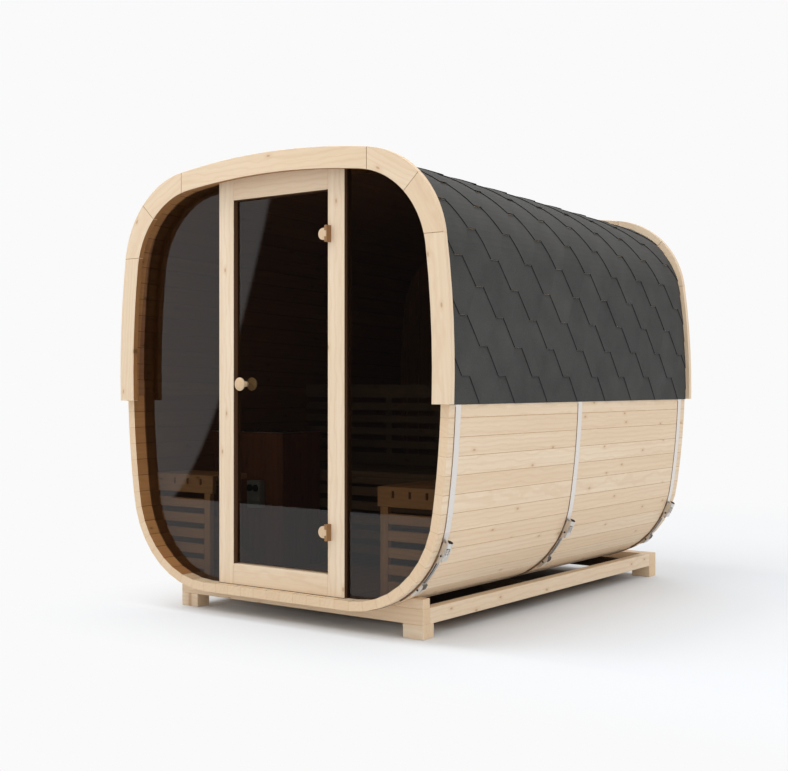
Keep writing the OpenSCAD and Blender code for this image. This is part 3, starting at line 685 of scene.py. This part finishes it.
def shingles():
    """Stepped tabs in courses up both slopes, over a straight starter, under ridge caps."""
    parts = []
    belly = (TAB_PITCH - TAB_FOOT) / 2
    for side in (1, -1):
        for k in range(-1, ceil(EAVE_FRONT / COURSE) + 1):
            foot = FIRST_COURSE + k * COURSE
            top = foot + 2 * COURSE
            half = [(TAB_FOOT / 2, foot), (belly, foot + COURSE), (belly, top)]
            if k < 0:
                half = [(TAB_PITCH / 2, foot), (TAB_PITCH / 2, top)]
            start = Y_SHELL + TAB_START + TAB_DRIFT * k + (0 if k % 2 else TAB_PITCH / 2)
            for i in range(-2, ceil((Y_END - Y_SHELL) / TAB_PITCH) + 2):
                y = start + i * TAB_PITCH
                points = ([(y - half[0][0], foot)] + [(y + w, s) for w, s in half]
                          + [(y - w, s) for w, s in half[:0:-1]])
                made = tile(points, foot, side)
                if made is not None:
                    parts.append(made)
    for i in range(ceil((Y_END - Y_SHELL) / CAP_STEP)):
        foot = Y_END - (i + 1) * CAP_STEP
        y1 = min(foot + CAP_LENGTH, Y_END)
        y0 = max(foot, Y_SHELL)
        bm = bmesh.new()
        bmesh.ops.create_grid(bm, x_segments=8, y_segments=1, size=1.0)
        thicken(bm)
        for vert in bm.verts:
            share = (vert.co.y + 1) / 2
            lift = SKIN + 0.001 + 0.005 * (1 - share) + (CAP_THICK if vert.co.z > 0.5 else 0)
            vert.co = on_roof(vert.co.x * CAP_REACH, y0 + (y1 - y0) * share, lift)
        parts.append(orient(bm))
    piece("shingles", parts, "sauna", [FELT, FELT_EDGE], ["roof_shingles"], seed=13)


# ---- trim, frame and base
def eased_nodes(name, nodes, width, finish, seed):
    """CAD timbers with eased edges, each solid with its own grain."""
    parts = [copied(node) for node in nodes]
    for bm in parts:
        ease(bm, width)
    piece(name, parts, "sauna", [finish], nodes, seed=seed)


def door_frame():
    """Jambs, head and sill; the reveals are painted darker for the shade in them, like the
    inside.
    """
    nodes = ["door_jambs", "door_head", "door_sill"]
    parts = []
    for node in nodes:
        bm = copied(node)
        for face in bm.faces:
            if abs(face.normal.x) > 0.9 or (node == "door_head" and face.normal.z < -0.9):
                face.material_index = 1
        for face in ease(bm, 0.002):
            face.material_index = 0
        parts.append(bm)
    piece("door_frame", parts, "sauna", [SPRUCE, FRAME_REVEAL_SHADE], nodes, seed=23)


def trim_boards(end, reveal, seed):
    """Boards round the shell's end, with dark lines where two of them meet."""
    nodes = [end + "_trim_" + kind for kind in ("top", "shoulders", "corners", "sides")]
    parts = []

    def inward(face):
        spot = face.calc_center_median()
        return face.normal.dot(Vector((-spot.x, 0, Z_WIDE - spot.z)).normalized())

    def at_joint(face):
        return abs(inward(face)) < 0.5 and face.calc_center_median().z > Z_SPLIT + 0.05

    for node in nodes:
        bm = copied(node)
        for face in bm.faces:
            # Inward faces take the reveal finish, which paints the shade on them
            if abs(face.normal.y) < 0.5 and inward(face) > 0.6:
                face.material_index = 1
        for face in ease(bm, 0.0016):
            slanted = 0.3 < abs(face.normal.y) < 0.95
            face.material_index = 2 if slanted and at_joint(face) else 0
        parts.append(bm)
    piece(end + "_trim_boards", parts, "sauna", [SPRUCE, reveal, BOARD_JOINT],
          nodes, seed=seed)


lower_shell()
upper_shell()
shingles()
trim_boards("front", PORCH, 21)
trim_boards("rear", REAR_REVEAL_SHADE, 22)
door_frame()
eased_nodes("base_timbers", ["base_front_beam", "base_rear_beam", "base_side_beams",
                             "cradle_wedges", "base_feet"],
            0.0025, SPRUCE, 24)
eased_nodes("base_joist_pair", ["base_joists"], 0.0025, JOIST_SHADE, 35)
for node, finish in (("side_glass", GLASS), ("door_glass", GLASS), ("straps", STEEL)):
    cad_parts[node].data.materials.clear()
    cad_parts[node].data.materials.append(finish)


# ---- door fittings
KNOB = [(0.0, -0.001), (0.0135, -0.001), (0.0140, 0.002), (0.0120, 0.006), (0.0095, 0.012),
        (0.0090, 0.020), (0.0105, 0.028), (0.0180, 0.033), (0.0290, 0.0355), (0.0328, 0.0375),
        (0.0340, 0.0405), (0.0330, 0.0440), (0.0290, 0.0475), (0.0210, 0.0502),
        (0.0110, 0.0516), (0.0, 0.0520)]
GLASS_THICK = 0.008
HINGE_RADIUS = 0.029
BLOCK_WIDTH = 0.046
BLOCK_RIGHT = DOOR_HALF + 0.00375
BLOCK_FOOT = DOOR_HALF - 0.022
BLOCK_FRONT = Y_FRAME - 0.022
BLOCK_EDGE = 0.004
HINGE_PIN = (DOOR_HALF + 0.0125, Y_FRAME - 0.027)
KNUCKLE_RADIUS = 0.0055
KNUCKLE_HALF = 0.014


def knob():
    """A turned knob on each side of the glass, both on one axis."""
    low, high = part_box("door_knob")
    spot = (low + high) / 2
    parts = [turned(KNOB, (spot.x, Y_GLASS, spot.z), (0, -1, 0)),
             turned(KNOB, (spot.x, Y_GLASS + GLASS_THICK, spot.z), (0, 1, 0))]
    piece("turned_knob", parts, "door", [BEECH], ["door_knob"], seed=31,
          along=(0, 1, 0))


def hinges():
    """Half-round blocks cut back behind, each with a tongue and knuckle in a fixed bar."""
    centre = BLOCK_RIGHT - BLOCK_WIDTH + HINGE_RADIUS
    depth = Y_GLASS - BLOCK_FRONT
    parts = []
    for z in Z_HINGES:
        bm = bmesh.new()
        bmesh.ops.create_circle(bm, cap_ends=True, segments=48, radius=HINGE_RADIUS)
        slice_at(bm, (0.0004, 0, 0), (1, 0, 0), clear_outer=True)
        rim = [e for e in bm.edges if all(v.co.x > 0.0003 for v in e.verts)]
        nudge(bm, bmesh.ops.extrude_edge_only(bm, edges=rim)["geom"],
              (BLOCK_RIGHT - centre, 0, 0))
        bmesh.ops.dissolve_limit(bm, angle_limit=0.01, verts=bm.verts[:], edges=bm.edges[:])
        move(bm, Matrix.Translation((centre, BLOCK_FRONT, z)) @ Matrix.Rotation(pi / 2, 4, "X"))
        sweep(bm, (0, depth, 0))
        cut(orient(bm), (BLOCK_RIGHT, BLOCK_FRONT + BLOCK_EDGE, z),
            (depth - BLOCK_EDGE, BLOCK_RIGHT - BLOCK_FOOT, 0))
        edge = [e for e in bm.edges if all(v.co.y < BLOCK_FRONT + 0.001 for v in e.verts)]
        ease(bm, BLOCK_EDGE, 4, 40.0, edge)
        x, y = HINGE_PIN
        low, high = z - KNUCKLE_HALF, z + KNUCKLE_HALF
        parts += [bm, rod((x, y, low), (x, y, high), KNUCKLE_RADIUS, 20, 0.0006),
                  box((x - 0.024, y + 0.0015, low), (x - 0.001, y + 0.0055, high), 0.0005)]
    piece("hinge_block_pair", parts, "door", [BEECH], ["hinge_blocks"], seed=32,
          along=(0, 0, 1))
    eased_nodes("hinge_bar_pair", ["hinge_bars"], 0.001, HINGE_BAR_SHADE, 33)


def seals():
    """Black rubber beads where the side panes meet the jambs, and a black strip under the sill as
    painted contact shadow.
    """
    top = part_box("side_glass")[1].z
    bead, strip = 0.003, 0.002
    parts = []
    for side in (1, -1):
        x = sorted((side * FRAME_HALF, side * (FRAME_HALF + bead)))
        parts.append(box((x[0], Y_GLASS - bead, Z_FLOOR), (x[1], Y_GLASS, top), 0.001))
    # Painted contact shadow: a thin black strip under the sill
    parts.append(box((-FRAME_HALF, Y_FRAME - bead / 2, Z_FLOOR + 0.0002),
                     (FRAME_HALF, Y_FRAME + 0.001, Z_FLOOR + 0.0002 + strip), 0))
    piece("glass_seals_and_sill_shade", parts, "sauna", [SEAL_AND_SILL_SHADE])


# ---- strap clamps
def on_corner(angle):
    """Frame on the strap at an angle below level: X outward, Y to the rear, Z up the curve."""
    a = radians(angle)
    out, up = Vector((cos(a), 0, -sin(a))), Vector((sin(a), 0, cos(a)))
    spot = Vector((LOWER[0], 0, LOWER[1])) + out * (R_LOWER + STRAP_THICK)
    rows = Matrix((out, (0, 1, 0), up)).transposed().to_4x4()
    return Matrix.Translation(spot) @ rows


# The upper bracket's and the low bracket's cheeks, as (height above the strap, way up it)
HIGH_CHEEK = [(0.0005, -0.056), (0.010, -0.056), (0.030, -0.012), (0.031, 0.036),
              (0.024, 0.050), (0.0005, 0.050)]
LOW_CHEEK = [(0.0005, -0.046), (0.012, -0.046), (0.021, -0.022), (0.022, 0.022),
             (0.016, 0.038), (0.0005, 0.038)]
HIGH_BOLT, LOW_BOLT = (0.0165, -0.014), (0.0115, 0.002)
TUBE_FOOT, TUBE_MOUTH, TUBE_RADIUS = (0.0190, 0.030), (0.0205, 0.0560), 0.0190
SHEET = 0.003
NUT_SPACING = 0.0105
NUT_RADIUS = 0.010 / sqrt(3)
NUT_FOOT, NUT_TOP = 0.0270, 0.0350


def bracket(at, y, outline, bolt, tube=False):
    """A folded bracket: two cheeks on a base plate, a bolt, and a tube for the strap end."""
    half = STRAP_WIDTH / 2
    low, high = min(p[1] for p in outline), max(p[1] for p in outline)
    outer = outline[2][0]
    plate = [box((0.0005, -half, low), (SHEET, half, high), 0.0006),
             box((outer - SHEET, -half, low + 0.02), (outer - 0.0005, half, high - 0.03),
                 0.0006)]
    # Nearly black sheets in the bolt sockets and the tube mouth: painted shade
    dark = []
    for side in (-1, 1):
        start = half - SHEET if side > 0 else -half
        cheek = prism(outline, start, start + SHEET)
        ease(cheek, 0.0007)
        face = side * half
        head, socket = ((bolt[0], face + side * proud, bolt[1]) for proud in (0.0022, 0.0028))
        plate += [cheek, rod((bolt[0], face, bolt[1]), head, 0.0075, 20, 0.0006)]
        dark.append(rod((bolt[0], face, bolt[1]), socket, 0.0052, 16))
    if tube:
        foot, mouth = (Vector((r, 0, z)) for r, z in (TUBE_FOOT, TUBE_MOUTH))
        step = (mouth - foot).normalized()
        plate.append(rod(foot, mouth, TUBE_RADIUS, 32, 0.001))
        dark.append(rod(mouth - step * 0.001, mouth + step * 0.0006, TUBE_RADIUS - SHEET, 28))
    spot = at @ Matrix.Translation((0, y, 0))
    return [move(bm, spot) for bm in plate] + [(move(bm, spot), 1) for bm in dark]


def arc_band(start, end, low, high, y0, y1):
    """A curved bar on a strap between two angles and two heights above the strap."""
    steps = 16
    angles = [radians(start + (end - start) * i / steps) for i in range(steps + 1)]
    base = R_LOWER + STRAP_THICK
    outline = [(base + high, a) for a in angles] + [(base + low, a) for a in reversed(angles)]
    return prism([(LOWER[0] + r * cos(a), LOWER[1] - r * sin(a)) for r, a in outline], y0, y1)


def clamps():
    """On each strap an upper bracket, a low one, and a channel that follows the strap."""
    high, low = on_corner(CLAMP_HIGH), on_corner(CLAMP_LOW)
    start, end = CLAMP_HIGH + 4, CLAMP_LOW - 3
    half = STRAP_WIDTH / 2
    parts, shade_strips = [], []
    for y in STRAPS:
        # Painted shade: a dull brown strip beside the strap's front edge, from the upper clamp
        # down past the low one
        shade_strips.append(arc_band(CLAMP_HIGH + 2, CLAMP_LOW + 12, -0.0018, 0.0060,
                             y - half - 0.0030, y - half - 0.0003))
        parts += bracket(high, y, HIGH_CHEEK, HIGH_BOLT, True)
        parts += bracket(low, y, LOW_CHEEK, LOW_BOLT)
        parts.append(arc_band(start, end, 0.0004, 0.0016, y - half + 0.001, y + half - 0.001))
        # A nearly black band in the channel: painted shade between its raised edges
        parts.append((arc_band(start, end, 0.0018, 0.0022, y - 0.010, y + 0.004), 1))
        for first, last in ((-half + 0.001, -half + 0.005), (half - 0.012, half - 0.001)):
            parts.append(arc_band(start, end, 0.0010, 0.0055, y + first, y + last))
        for off in (y - NUT_SPACING, y + NUT_SPACING):
            for lift in (0.000, 0.013, 0.026):
                nut = rod(high @ Vector((NUT_FOOT, off, lift - 0.006)),
                          high @ Vector((NUT_TOP, off, lift - 0.004)), NUT_RADIUS, 6)
                ease(nut, 0.0008, 1, 50.0)
                parts.append(nut)
    piece("strap_tensioners", parts, "sauna", [ZINC, DIAL_BLACK_AND_SHADE], ["strap_clamps"])
    piece("clamp_painted_shade", shade_strips, "sauna", [STRAP_SHADE])


def strap_edge_shade():
    """Dark strips along the front edge of each strap, painted shade and reflection of the dark
    studio.
    """
    start = eave_run(Y_SHELL) + 0.01
    end = 2 * RUN_HALF - start
    count = 120
    spots = [place(start + (end - start) * i / count) for i in range(count + 1)]
    outline = ([inset(p, -0.0022) for p in spots]
               + [inset(p, -0.0002) for p in reversed(spots)])
    front = -STRAP_WIDTH / 2 - 0.003
    parts = [prism(outline, y + front, y + front + 0.0028) for y in STRAPS]
    piece("strap_edge_shade", parts, "sauna", [STRAP_SHADE])


# ---- cabin
# Benches: where the side seats begin, their boards, and the slats and posts below them
EDGE = 0.545
BOARD = 0.084
BENCH_PITCH = 0.098
THICK = 0.028
RAIL = 0.095
POST = 0.045
POST_EDGE = 0.063
SLAT, SLAT_GAP = 0.049, 0.031
Y_CROSS = Y_FACE + 0.930
Y_BACK = Y_CROSS + 0.520
BOARDS = 5
# Cuts stand a hair off the limits, so that neighbouring pieces never share a face
SPLIT = 0.0004
LAP = 0.0003
# Backrest: the top board, the slats and gaps below it, and its height
BACK_RAIL, BACK_SLAT, BACK_GAP, BACK_SLATS = 0.078, 0.045, 0.030, 4
BACK_TOP = Z_SEAT + 0.479


def between(bm, axis, low, high):
    """Keeps what lies between two levels of one axis, less a hair at each cut."""
    normal = Vector((0, 0, 0))
    normal[axis] = 1
    cut(bm, normal * (high - SPLIT), normal)
    cut(bm, normal * (low + SPLIT), -normal)
    return bm


def carve(node, spans, width=0.002):
    """Eased pieces of a CAD node: each span is a list of (axis, low, high)."""
    parts = []
    for span in spans:
        bm = copied(node)
        for limits in span:
            between(bm, *limits)
        if bm.faces:
            ease(bm, width)
            parts.append(bm)
    return parts


def seat_boards(node, axis, start, side, width):
    """The boards of one seat, cut from a CAD bench."""
    spans = []
    for i in range(BOARDS):
        near = start + i * BENCH_PITCH
        ends = sorted((side * (near - 0.004), side * (near + BOARD + 0.004)))
        spans.append([(axis, *ends), (2, Z_SEAT - THICK + 0.0002 - SPLIT, Z_SEAT + 0.01)])
    return carve(node, spans, width)


def side_bench(name, node, side, seed):
    """Seat boards that run to the rear, on two battens."""
    battens = copied(node)
    cut(battens, (0, 0, Z_SEAT - THICK - 0.0002), (0, 0, 1))
    ease(battens, 0.002)
    parts = seat_boards(node, 0, EDGE, side, 0.003) + [battens]
    piece(name, parts, "sauna", [SHADE_SPRUCE], [node], seed=seed)


def bench_end_panels():
    """Rail with slots, post and level slats at the front end of each side bench."""
    near, far, post = 0.4, 1.2, EDGE + POST_EDGE
    z = Z_SEAT - RAIL
    areas = [(near, far, z, Z_SEAT + 0.01), (near, post, Z_FLOOR - 0.01, z)]
    while z - SLAT_GAP - 0.02 > Z_FLOOR:
        foot = z - SLAT_GAP - SLAT
        areas.append((post, far, max(foot, Z_FLOOR - 0.01), z - SLAT_GAP))
        z = foot
    spans = [[(0, *sorted((side * first, side * last))), (2, low, high)]
             for side in (1, -1) for first, last, low, high in areas]
    piece("bench_end_panels", carve("bench_ends", spans), "sauna",
          [SHADE_SPRUCE], ["bench_ends"], seed=43)


def cross_bench():
    """Rear bench: seat boards, rail, level slats, and posts behind them."""
    levels = [(Z_SEAT - 0.070, Z_SEAT - THICK)]
    z = Z_SEAT - 0.087
    while z - SLAT > Z_FLOOR:
        levels.append((z - SLAT, z))
        z -= SLAT + SLAT_GAP
    front = (1, Y_CROSS - 0.01, Y_CROSS + THICK + LAP)
    parts = seat_boards("bench_rear", 1, Y_CROSS, 1, 0.002)
    parts += carve("bench_rear", [[front, (2, *level)] for level in levels])
    y = Y_CROSS + THICK + 0.0005
    for x in (-EDGE, -POST / 2, EDGE - POST):
        parts.append(box((x, y, Z_FLOOR), (x + POST, y + 0.0175, Z_SEAT - THICK - 0.0005)))
    piece("cross_bench", parts, "sauna", [DEEP_SPRUCE], ["bench_rear"],
          seed=44)


def slatted_backrest():
    """Top board, slats and a bottom board on battens."""
    foot = BACK_TOP - BACK_RAIL
    levels = [(foot, BACK_TOP)]
    for _ in range(BACK_SLATS):
        levels.append((foot - BACK_GAP - BACK_SLAT, foot - BACK_GAP))
        foot -= BACK_GAP + BACK_SLAT
    levels.append((Z_SEAT - 0.001, foot - BACK_GAP))
    split = Y_BACK + THICK / 2 + LAP
    parts = carve("backrest", [[(1, Y_BACK - 0.01, split), (2, low - SPLIT, high + SPLIT)]
                               for low, high in levels])
    battens = copied("backrest")
    cut(battens, (0, split, 0), (0, -1, 0))
    ease(battens, 0.002)
    piece("slatted_backrest", parts + [battens], "sauna", [DEEP_SPRUCE],
          ["backrest"], seed=45)


def heater_guard():
    """Upright boards round the heater, under a thin bright capping strip."""
    parts, strips = [], []
    pitch, joint = 0.046, 0.0006
    cap = 0.003
    for node, axis in (("guard_side", 1), ("guard_front", 0)):
        low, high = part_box(node)
        start = low[axis]
        while start < high[axis] - 0.01:
            bm = between(copied(node), axis, start - joint, start + pitch - joint)
            cut(bm, (0, 0, high.z - cap), (0, 0, 1))
            if bm.faces:
                ease(bm, 0.002)
                parts.append(bm)
            start += pitch
        bm = copied(node)
        cut(bm, (0, 0, high.z - cap + 0.0002), (0, 0, -1))
        strips.append(bm)
    piece("heater_guard_boards", parts, "sauna", [GUARD_TIMBER],
          ["guard_front", "guard_side"], seed=46, along=(0, 0, 1))
    piece("guard_capping", strips, "sauna", [ZINC])


STONE_SPACING = 0.055
STONE_HALVES = (0.032, 0.026, 0.024, 1)


def heater():
    """A steel housing filled with loose rounded stones."""
    low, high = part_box("heater")
    rim = high.z - 0.045
    draw = Random(7)
    housing = copied("heater")
    cut(housing, (0, 0, rim), (0, 0, 1))
    ease(housing, 0.004)
    stones = []
    for i in range(int((high.x - low.x) / STONE_SPACING)):
        for j in range(int((high.y - low.y) / STONE_SPACING)):
            bm = bmesh.new()
            bmesh.ops.create_icosphere(bm, subdivisions=2, radius=1.0)
            for vert in bm.verts:
                vert.co *= 1 + draw.uniform(-0.12, 0.12)
            bmesh.ops.smooth_vert(bm, verts=bm.verts[:], factor=0.5, use_axis_x=True,
                                  use_axis_y=True, use_axis_z=True)
            spot = (low.x + STONE_SPACING * (i + 0.6) + draw.uniform(-0.008, 0.008),
                    low.y + STONE_SPACING * (j + 0.6) + draw.uniform(-0.008, 0.008),
                    rim + draw.uniform(0.0, 0.012))
            turn = Matrix.Rotation(draw.uniform(0, pi), 4, "Z")
            stones.append(shade(move(bm, Matrix.Translation(spot) @ turn
                                     @ Matrix.Diagonal(STONE_HALVES))))
    piece("heater_housing", [housing], "sauna", [PAINT], ["heater"])
    piece("heater_stones", stones, "sauna", [STONE])


DIAL = [(0, 0), (0.019, 0), (0.0185, 0.008), (0.016, 0.0115), (0.0, 0.0118)]
DIAL_PLACES = (0.27, 0.73)
DIAL_DROP = 0.040


def controls():
    """A grey control box with two round dials."""
    low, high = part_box("control_box")
    face = 0.012
    parts = [box(low + Vector((0, face, 0)), high, 0.006, 3)]
    for share in DIAL_PLACES:
        spot = (low.x + (high.x - low.x) * share, low.y + face + 0.0002, high.z - DIAL_DROP)
        parts.append((turned(DIAL, spot, (0, -1, 0), 28), 1))
    piece("heater_controls", parts, "sauna", [PAINT, DIAL_BLACK_AND_SHADE], ["control_box"])


def rear_wall():
    """Upright boards of the rear wall, cut from the wall's own outline."""
    low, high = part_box("rear_wall")
    pitch, joint = 0.095, 0.0005
    count = ceil((high.x - low.x) / pitch)
    parts = []
    for i in range(count):
        left = (i - count / 2) * pitch
        bm = copied("rear_wall")
        cut(bm, (left + joint, 0, 0), (-1, 0, 0))
        cut(bm, (left + pitch - joint, 0, 0), (1, 0, 0))
        if bm.faces:
            for face in bm.faces:
                if face.normal.y < -0.9:
                    face.material_index = 2
            for face in ease(bm, 0.0025):
                face.material_index = 1 if face.normal.y > 0 else 2
            parts.append(bm)
    piece("rear_wall_boards", parts, "sauna", STAVE_FINISHES, ["rear_wall"],
          seed=47, along=(0, 0, 1))


knob()
hinges()
seals()
clamps()
strap_edge_shade()
side_bench("right_bench", "bench_right", 1, 41)
side_bench("left_bench", "bench_left", -1, 42)
bench_end_panels()
cross_bench()
slatted_backrest()
heater_guard()
heater()
controls()
rear_wall()

# ---- studio
scene = bpy.context.scene
scene.view_settings.view_transform = "Standard"


def flat(name, corner, across, up, finish):
    """A flat sheet from a corner and two sides."""
    corner, across, up = Vector(corner), Vector(across), Vector(up)
    sides = Matrix((across, up, across.cross(up).normalized())).transposed().to_4x4()
    bm = bmesh.new()
    bmesh.ops.create_grid(bm, x_segments=1, y_segments=1, size=0.5,
                          matrix=Matrix.Translation(corner + (across + up) / 2) @ sides)
    made = as_object(name, bm, [finish])
    return made


# The floor keeps its own shading between these corners and turns into backdrop beyond
# them, sooner on the lit side. Each fade is its start and end past the corners, and its gain.
# Under the object, by a middle and a half size, the paper is painted dark brown as painted shade.
SHADOW_LOW = (-0.70, -1.15, 0.0)
SHADOW_HIGH = (1.70, 1.80, 0.0)
LIT_SIDE_FALL = 5.0
FADES = ((0.0, 0.35, 0.30), (0.35, 4.5, 0.70))
PAINTED_SHADE_MIDDLE = (-0.05, 0.20, 0.0)
PAINTED_SHADE_HALF = (0.60, 0.95, 0.0)
PAINTED_SHADE_FADE = 0.22


def pale_floor():
    """White paper sweep: keeps the shadow near the object and meets the backdrop beyond."""
    made, tree, shader = material("paper_sweep", Roughness=0.9)
    spot = add(tree, "TexCoord").outputs["Object"]
    low_side = add(tree, "VectorMath", {0: SHADOW_LOW, 1: spot}, operation="SUBTRACT")
    lit_side = add(tree, "VectorMath", {0: low_side.outputs[0], "Scale": LIT_SIDE_FALL},
                   operation="SCALE")
    high_side = add(tree, "VectorMath", {0: spot, 1: SHADOW_HIGH}, operation="SUBTRACT")
    farther = add(tree, "VectorMath", {0: lit_side.outputs[0], 1: high_side.outputs[0]},
                  operation="MAXIMUM")
    outside = add(tree, "VectorMath", {0: farther.outputs[0], 1: (0, 0, 0)},
                  operation="MAXIMUM")
    away = add(tree, "VectorMath", {0: outside.outputs[0]}, operation="LENGTH")
    near, far = (add(tree, "MapRange", {"Value": away.outputs["Value"], "From Min": start,
                                        "From Max": end, "To Max": gain}).outputs[0]
                 for start, end, gain in FADES)
    share = add(tree, "Math", {0: near, 1: far}, operation="ADD")
    # Painted shade: the paper turns dark brown under the object
    off_middle = add(tree, "VectorMath", {0: spot, 1: PAINTED_SHADE_MIDDLE}, operation="SUBTRACT")
    reach = add(tree, "VectorMath", {0: off_middle.outputs[0]}, operation="ABSOLUTE")
    under = add(tree, "VectorMath", {0: reach.outputs[0], 1: PAINTED_SHADE_HALF}, operation="SUBTRACT")
    past = add(tree, "VectorMath", {0: under.outputs[0], 1: (0, 0, 0)}, operation="MAXIMUM")
    past_edge = add(tree, "VectorMath", {0: past.outputs[0]}, operation="LENGTH")
    clear = add(tree, "MapRange", {"Value": past_edge.outputs["Value"], "From Min": 0.0,
                                   "From Max": PAINTED_SHADE_FADE})
    colour = add(tree, "Mix", {0: clear.outputs[0], 6: linear("#4E3626"), 7: linear("#EAEEF3")},
                 data_type="RGBA")
    tree.links.new(colour.outputs[2], shader.inputs["Base Color"])
    seen = any_of(tree, "Is Camera Ray", "Is Glossy Ray", "Is Transmission Ray")
    factor = add(tree, "Math", {0: share.outputs[0], 1: seen}, operation="MULTIPLY")
    paper = add(tree, "Emission", {"Color": (BACKDROP, BACKDROP, BACKDROP, 1)})
    both = add(tree, "MixShader", {0: factor.outputs[0], 1: shader.outputs[0],
                                   2: paper.outputs[0]})
    tree.links.new(both.outputs[0], tree.nodes["Material Output"].inputs["Surface"])
    return made


def any_of(tree, *names):
    """1 when the ray is any of the named kinds."""
    paths = add(tree, "LightPath")
    total = 0.0
    for name in names:
        total = add(tree, "Math", {0: paths.outputs[name], 1: total},
                    operation="MAXIMUM").outputs[0]
    return total


def curved_reflector():
    """White reflector whose near edge leans away in a curve and falls off softly."""
    made, tree = blank("white_reflector")
    spot = add(tree, "TexCoord").outputs["Object"]
    glow = add(tree, "Emission", {"Color": (1, 1, 1, 1)})
    clear = add(tree, "BsdfTransparent")
    height = add(tree, "SeparateXYZ", {0: spot}).outputs["Z"]
    along = add(tree, "VectorMath", {0: spot, 1: tuple(REFLECTOR_ALONG)},
                operation="DOT_PRODUCT")
    bend = add(tree, "Math", {0: height, 1: BEND_POWER}, operation="POWER")
    lean = add(tree, "Math", {0: bend.outputs[0], 1: BEND_LEAN, 2: along.outputs["Value"]},
               operation="MULTIPLY_ADD")
    edge = REFLECTOR_FOOT.dot(REFLECTOR_ALONG) + BEND_START
    share = add(tree, "MapRange", {"Value": lean.outputs[0], "From Min": edge - BEND_SOFT,
                                   "From Max": edge + BEND_SOFT})
    both = add(tree, "MixShader", {0: share.outputs[0], 1: clear.outputs[0],
                                   2: glow.outputs[0]})
    add(tree, "OutputMaterial", {"Surface": both.outputs[0]})
    return made


BACKDROP = 0.955
BEND_START, BEND_LEAN, BEND_POWER, BEND_SOFT = 0.10, 0.61, 0.55, 0.022
flat("paper_floor", (-40, -5.7, 0), (80, 0, 0), (0, 66, 0), pale_floor())
REFLECTOR_FOOT = Vector((-4.59, -4.72, 0.12))
REFLECTOR_ALONG = Vector((-0.594, 0.804, 0))
panel = flat("reflector_panel", REFLECTOR_FOOT - REFLECTOR_ALONG * 1.7,
             REFLECTOR_ALONG * 5.75, (0, 0, 6.5), curved_reflector())
for kind in ("camera", "diffuse", "transmission", "shadow", "volume_scatter"):
    setattr(panel, "visible_" + kind, False)

world = bpy.data.worlds.new("studio")
scene.world = world
world.use_nodes = True
tree = world.node_tree
tree.nodes.clear()
toward = add(tree, "SeparateXYZ", {0: add(tree, "TexCoord").outputs["Generated"]})
rear = add(tree, "MapRange", {"Value": toward.outputs["Y"], "From Min": -0.35,
                              "From Max": -0.05, "To Min": 0.055, "To Max": 0.9})
seen = add(tree, "Background", {"Color": (BACKDROP, BACKDROP, BACKDROP, 1)})
mirrored = add(tree, "Background", {"Color": rear.outputs[0]})
ambient = add(tree, "Background", {"Color": (1, 1, 1, 1), "Strength": 0.92})
unseen = add(tree, "MixShader", {0: any_of(tree, "Is Glossy Ray"), 1: ambient.outputs[0],
                                 2: mirrored.outputs[0]})
both = add(tree, "MixShader", {0: any_of(tree, "Is Camera Ray", "Is Transmission Ray"),
                               1: unseen.outputs[0], 2: seen.outputs[0]})
add(tree, "OutputWorld", {"Surface": both.outputs[0]})


def lamp(name, spot, target, size, power):
    """A square white softbox that looks at a target and is not mirrored."""
    data = bpy.data.lights.new(name, "AREA")
    data.shape = "SQUARE"
    data.size = size
    data.energy = power
    made = bpy.data.objects.new(name, data)
    made.location = spot
    made.rotation_euler = (Vector(target) - Vector(spot)).to_track_quat("-Z", "Y").to_euler()
    made.visible_glossy = False
    scene.collection.objects.link(made)


lamp("key_softbox", (-1.0, -3.2, 7.8), (0, 0, 0.9), 4.0, 190)
lamp("side_fill", (6.5, -1.5, 3.5), (0, 0, 0.9), 4.0, 20)
lamp("top_softbox", (1.2, 0.3, 8.0), (1.2, 0.3, 0), 3.0, 55)

camera_data = bpy.data.cameras.new("camera")
camera_data.sensor_width = 36
camera_data.lens = 57.8
camera_data.shift_x = 0.0065
camera_data.shift_y = -0.003
camera = bpy.data.objects.new("camera", camera_data)
camera.location = (4.188, -5.936, 1.193)
camera.rotation_euler = (radians(90), 0, radians(36.9))
scene.collection.objects.link(camera)
scene.camera = camera
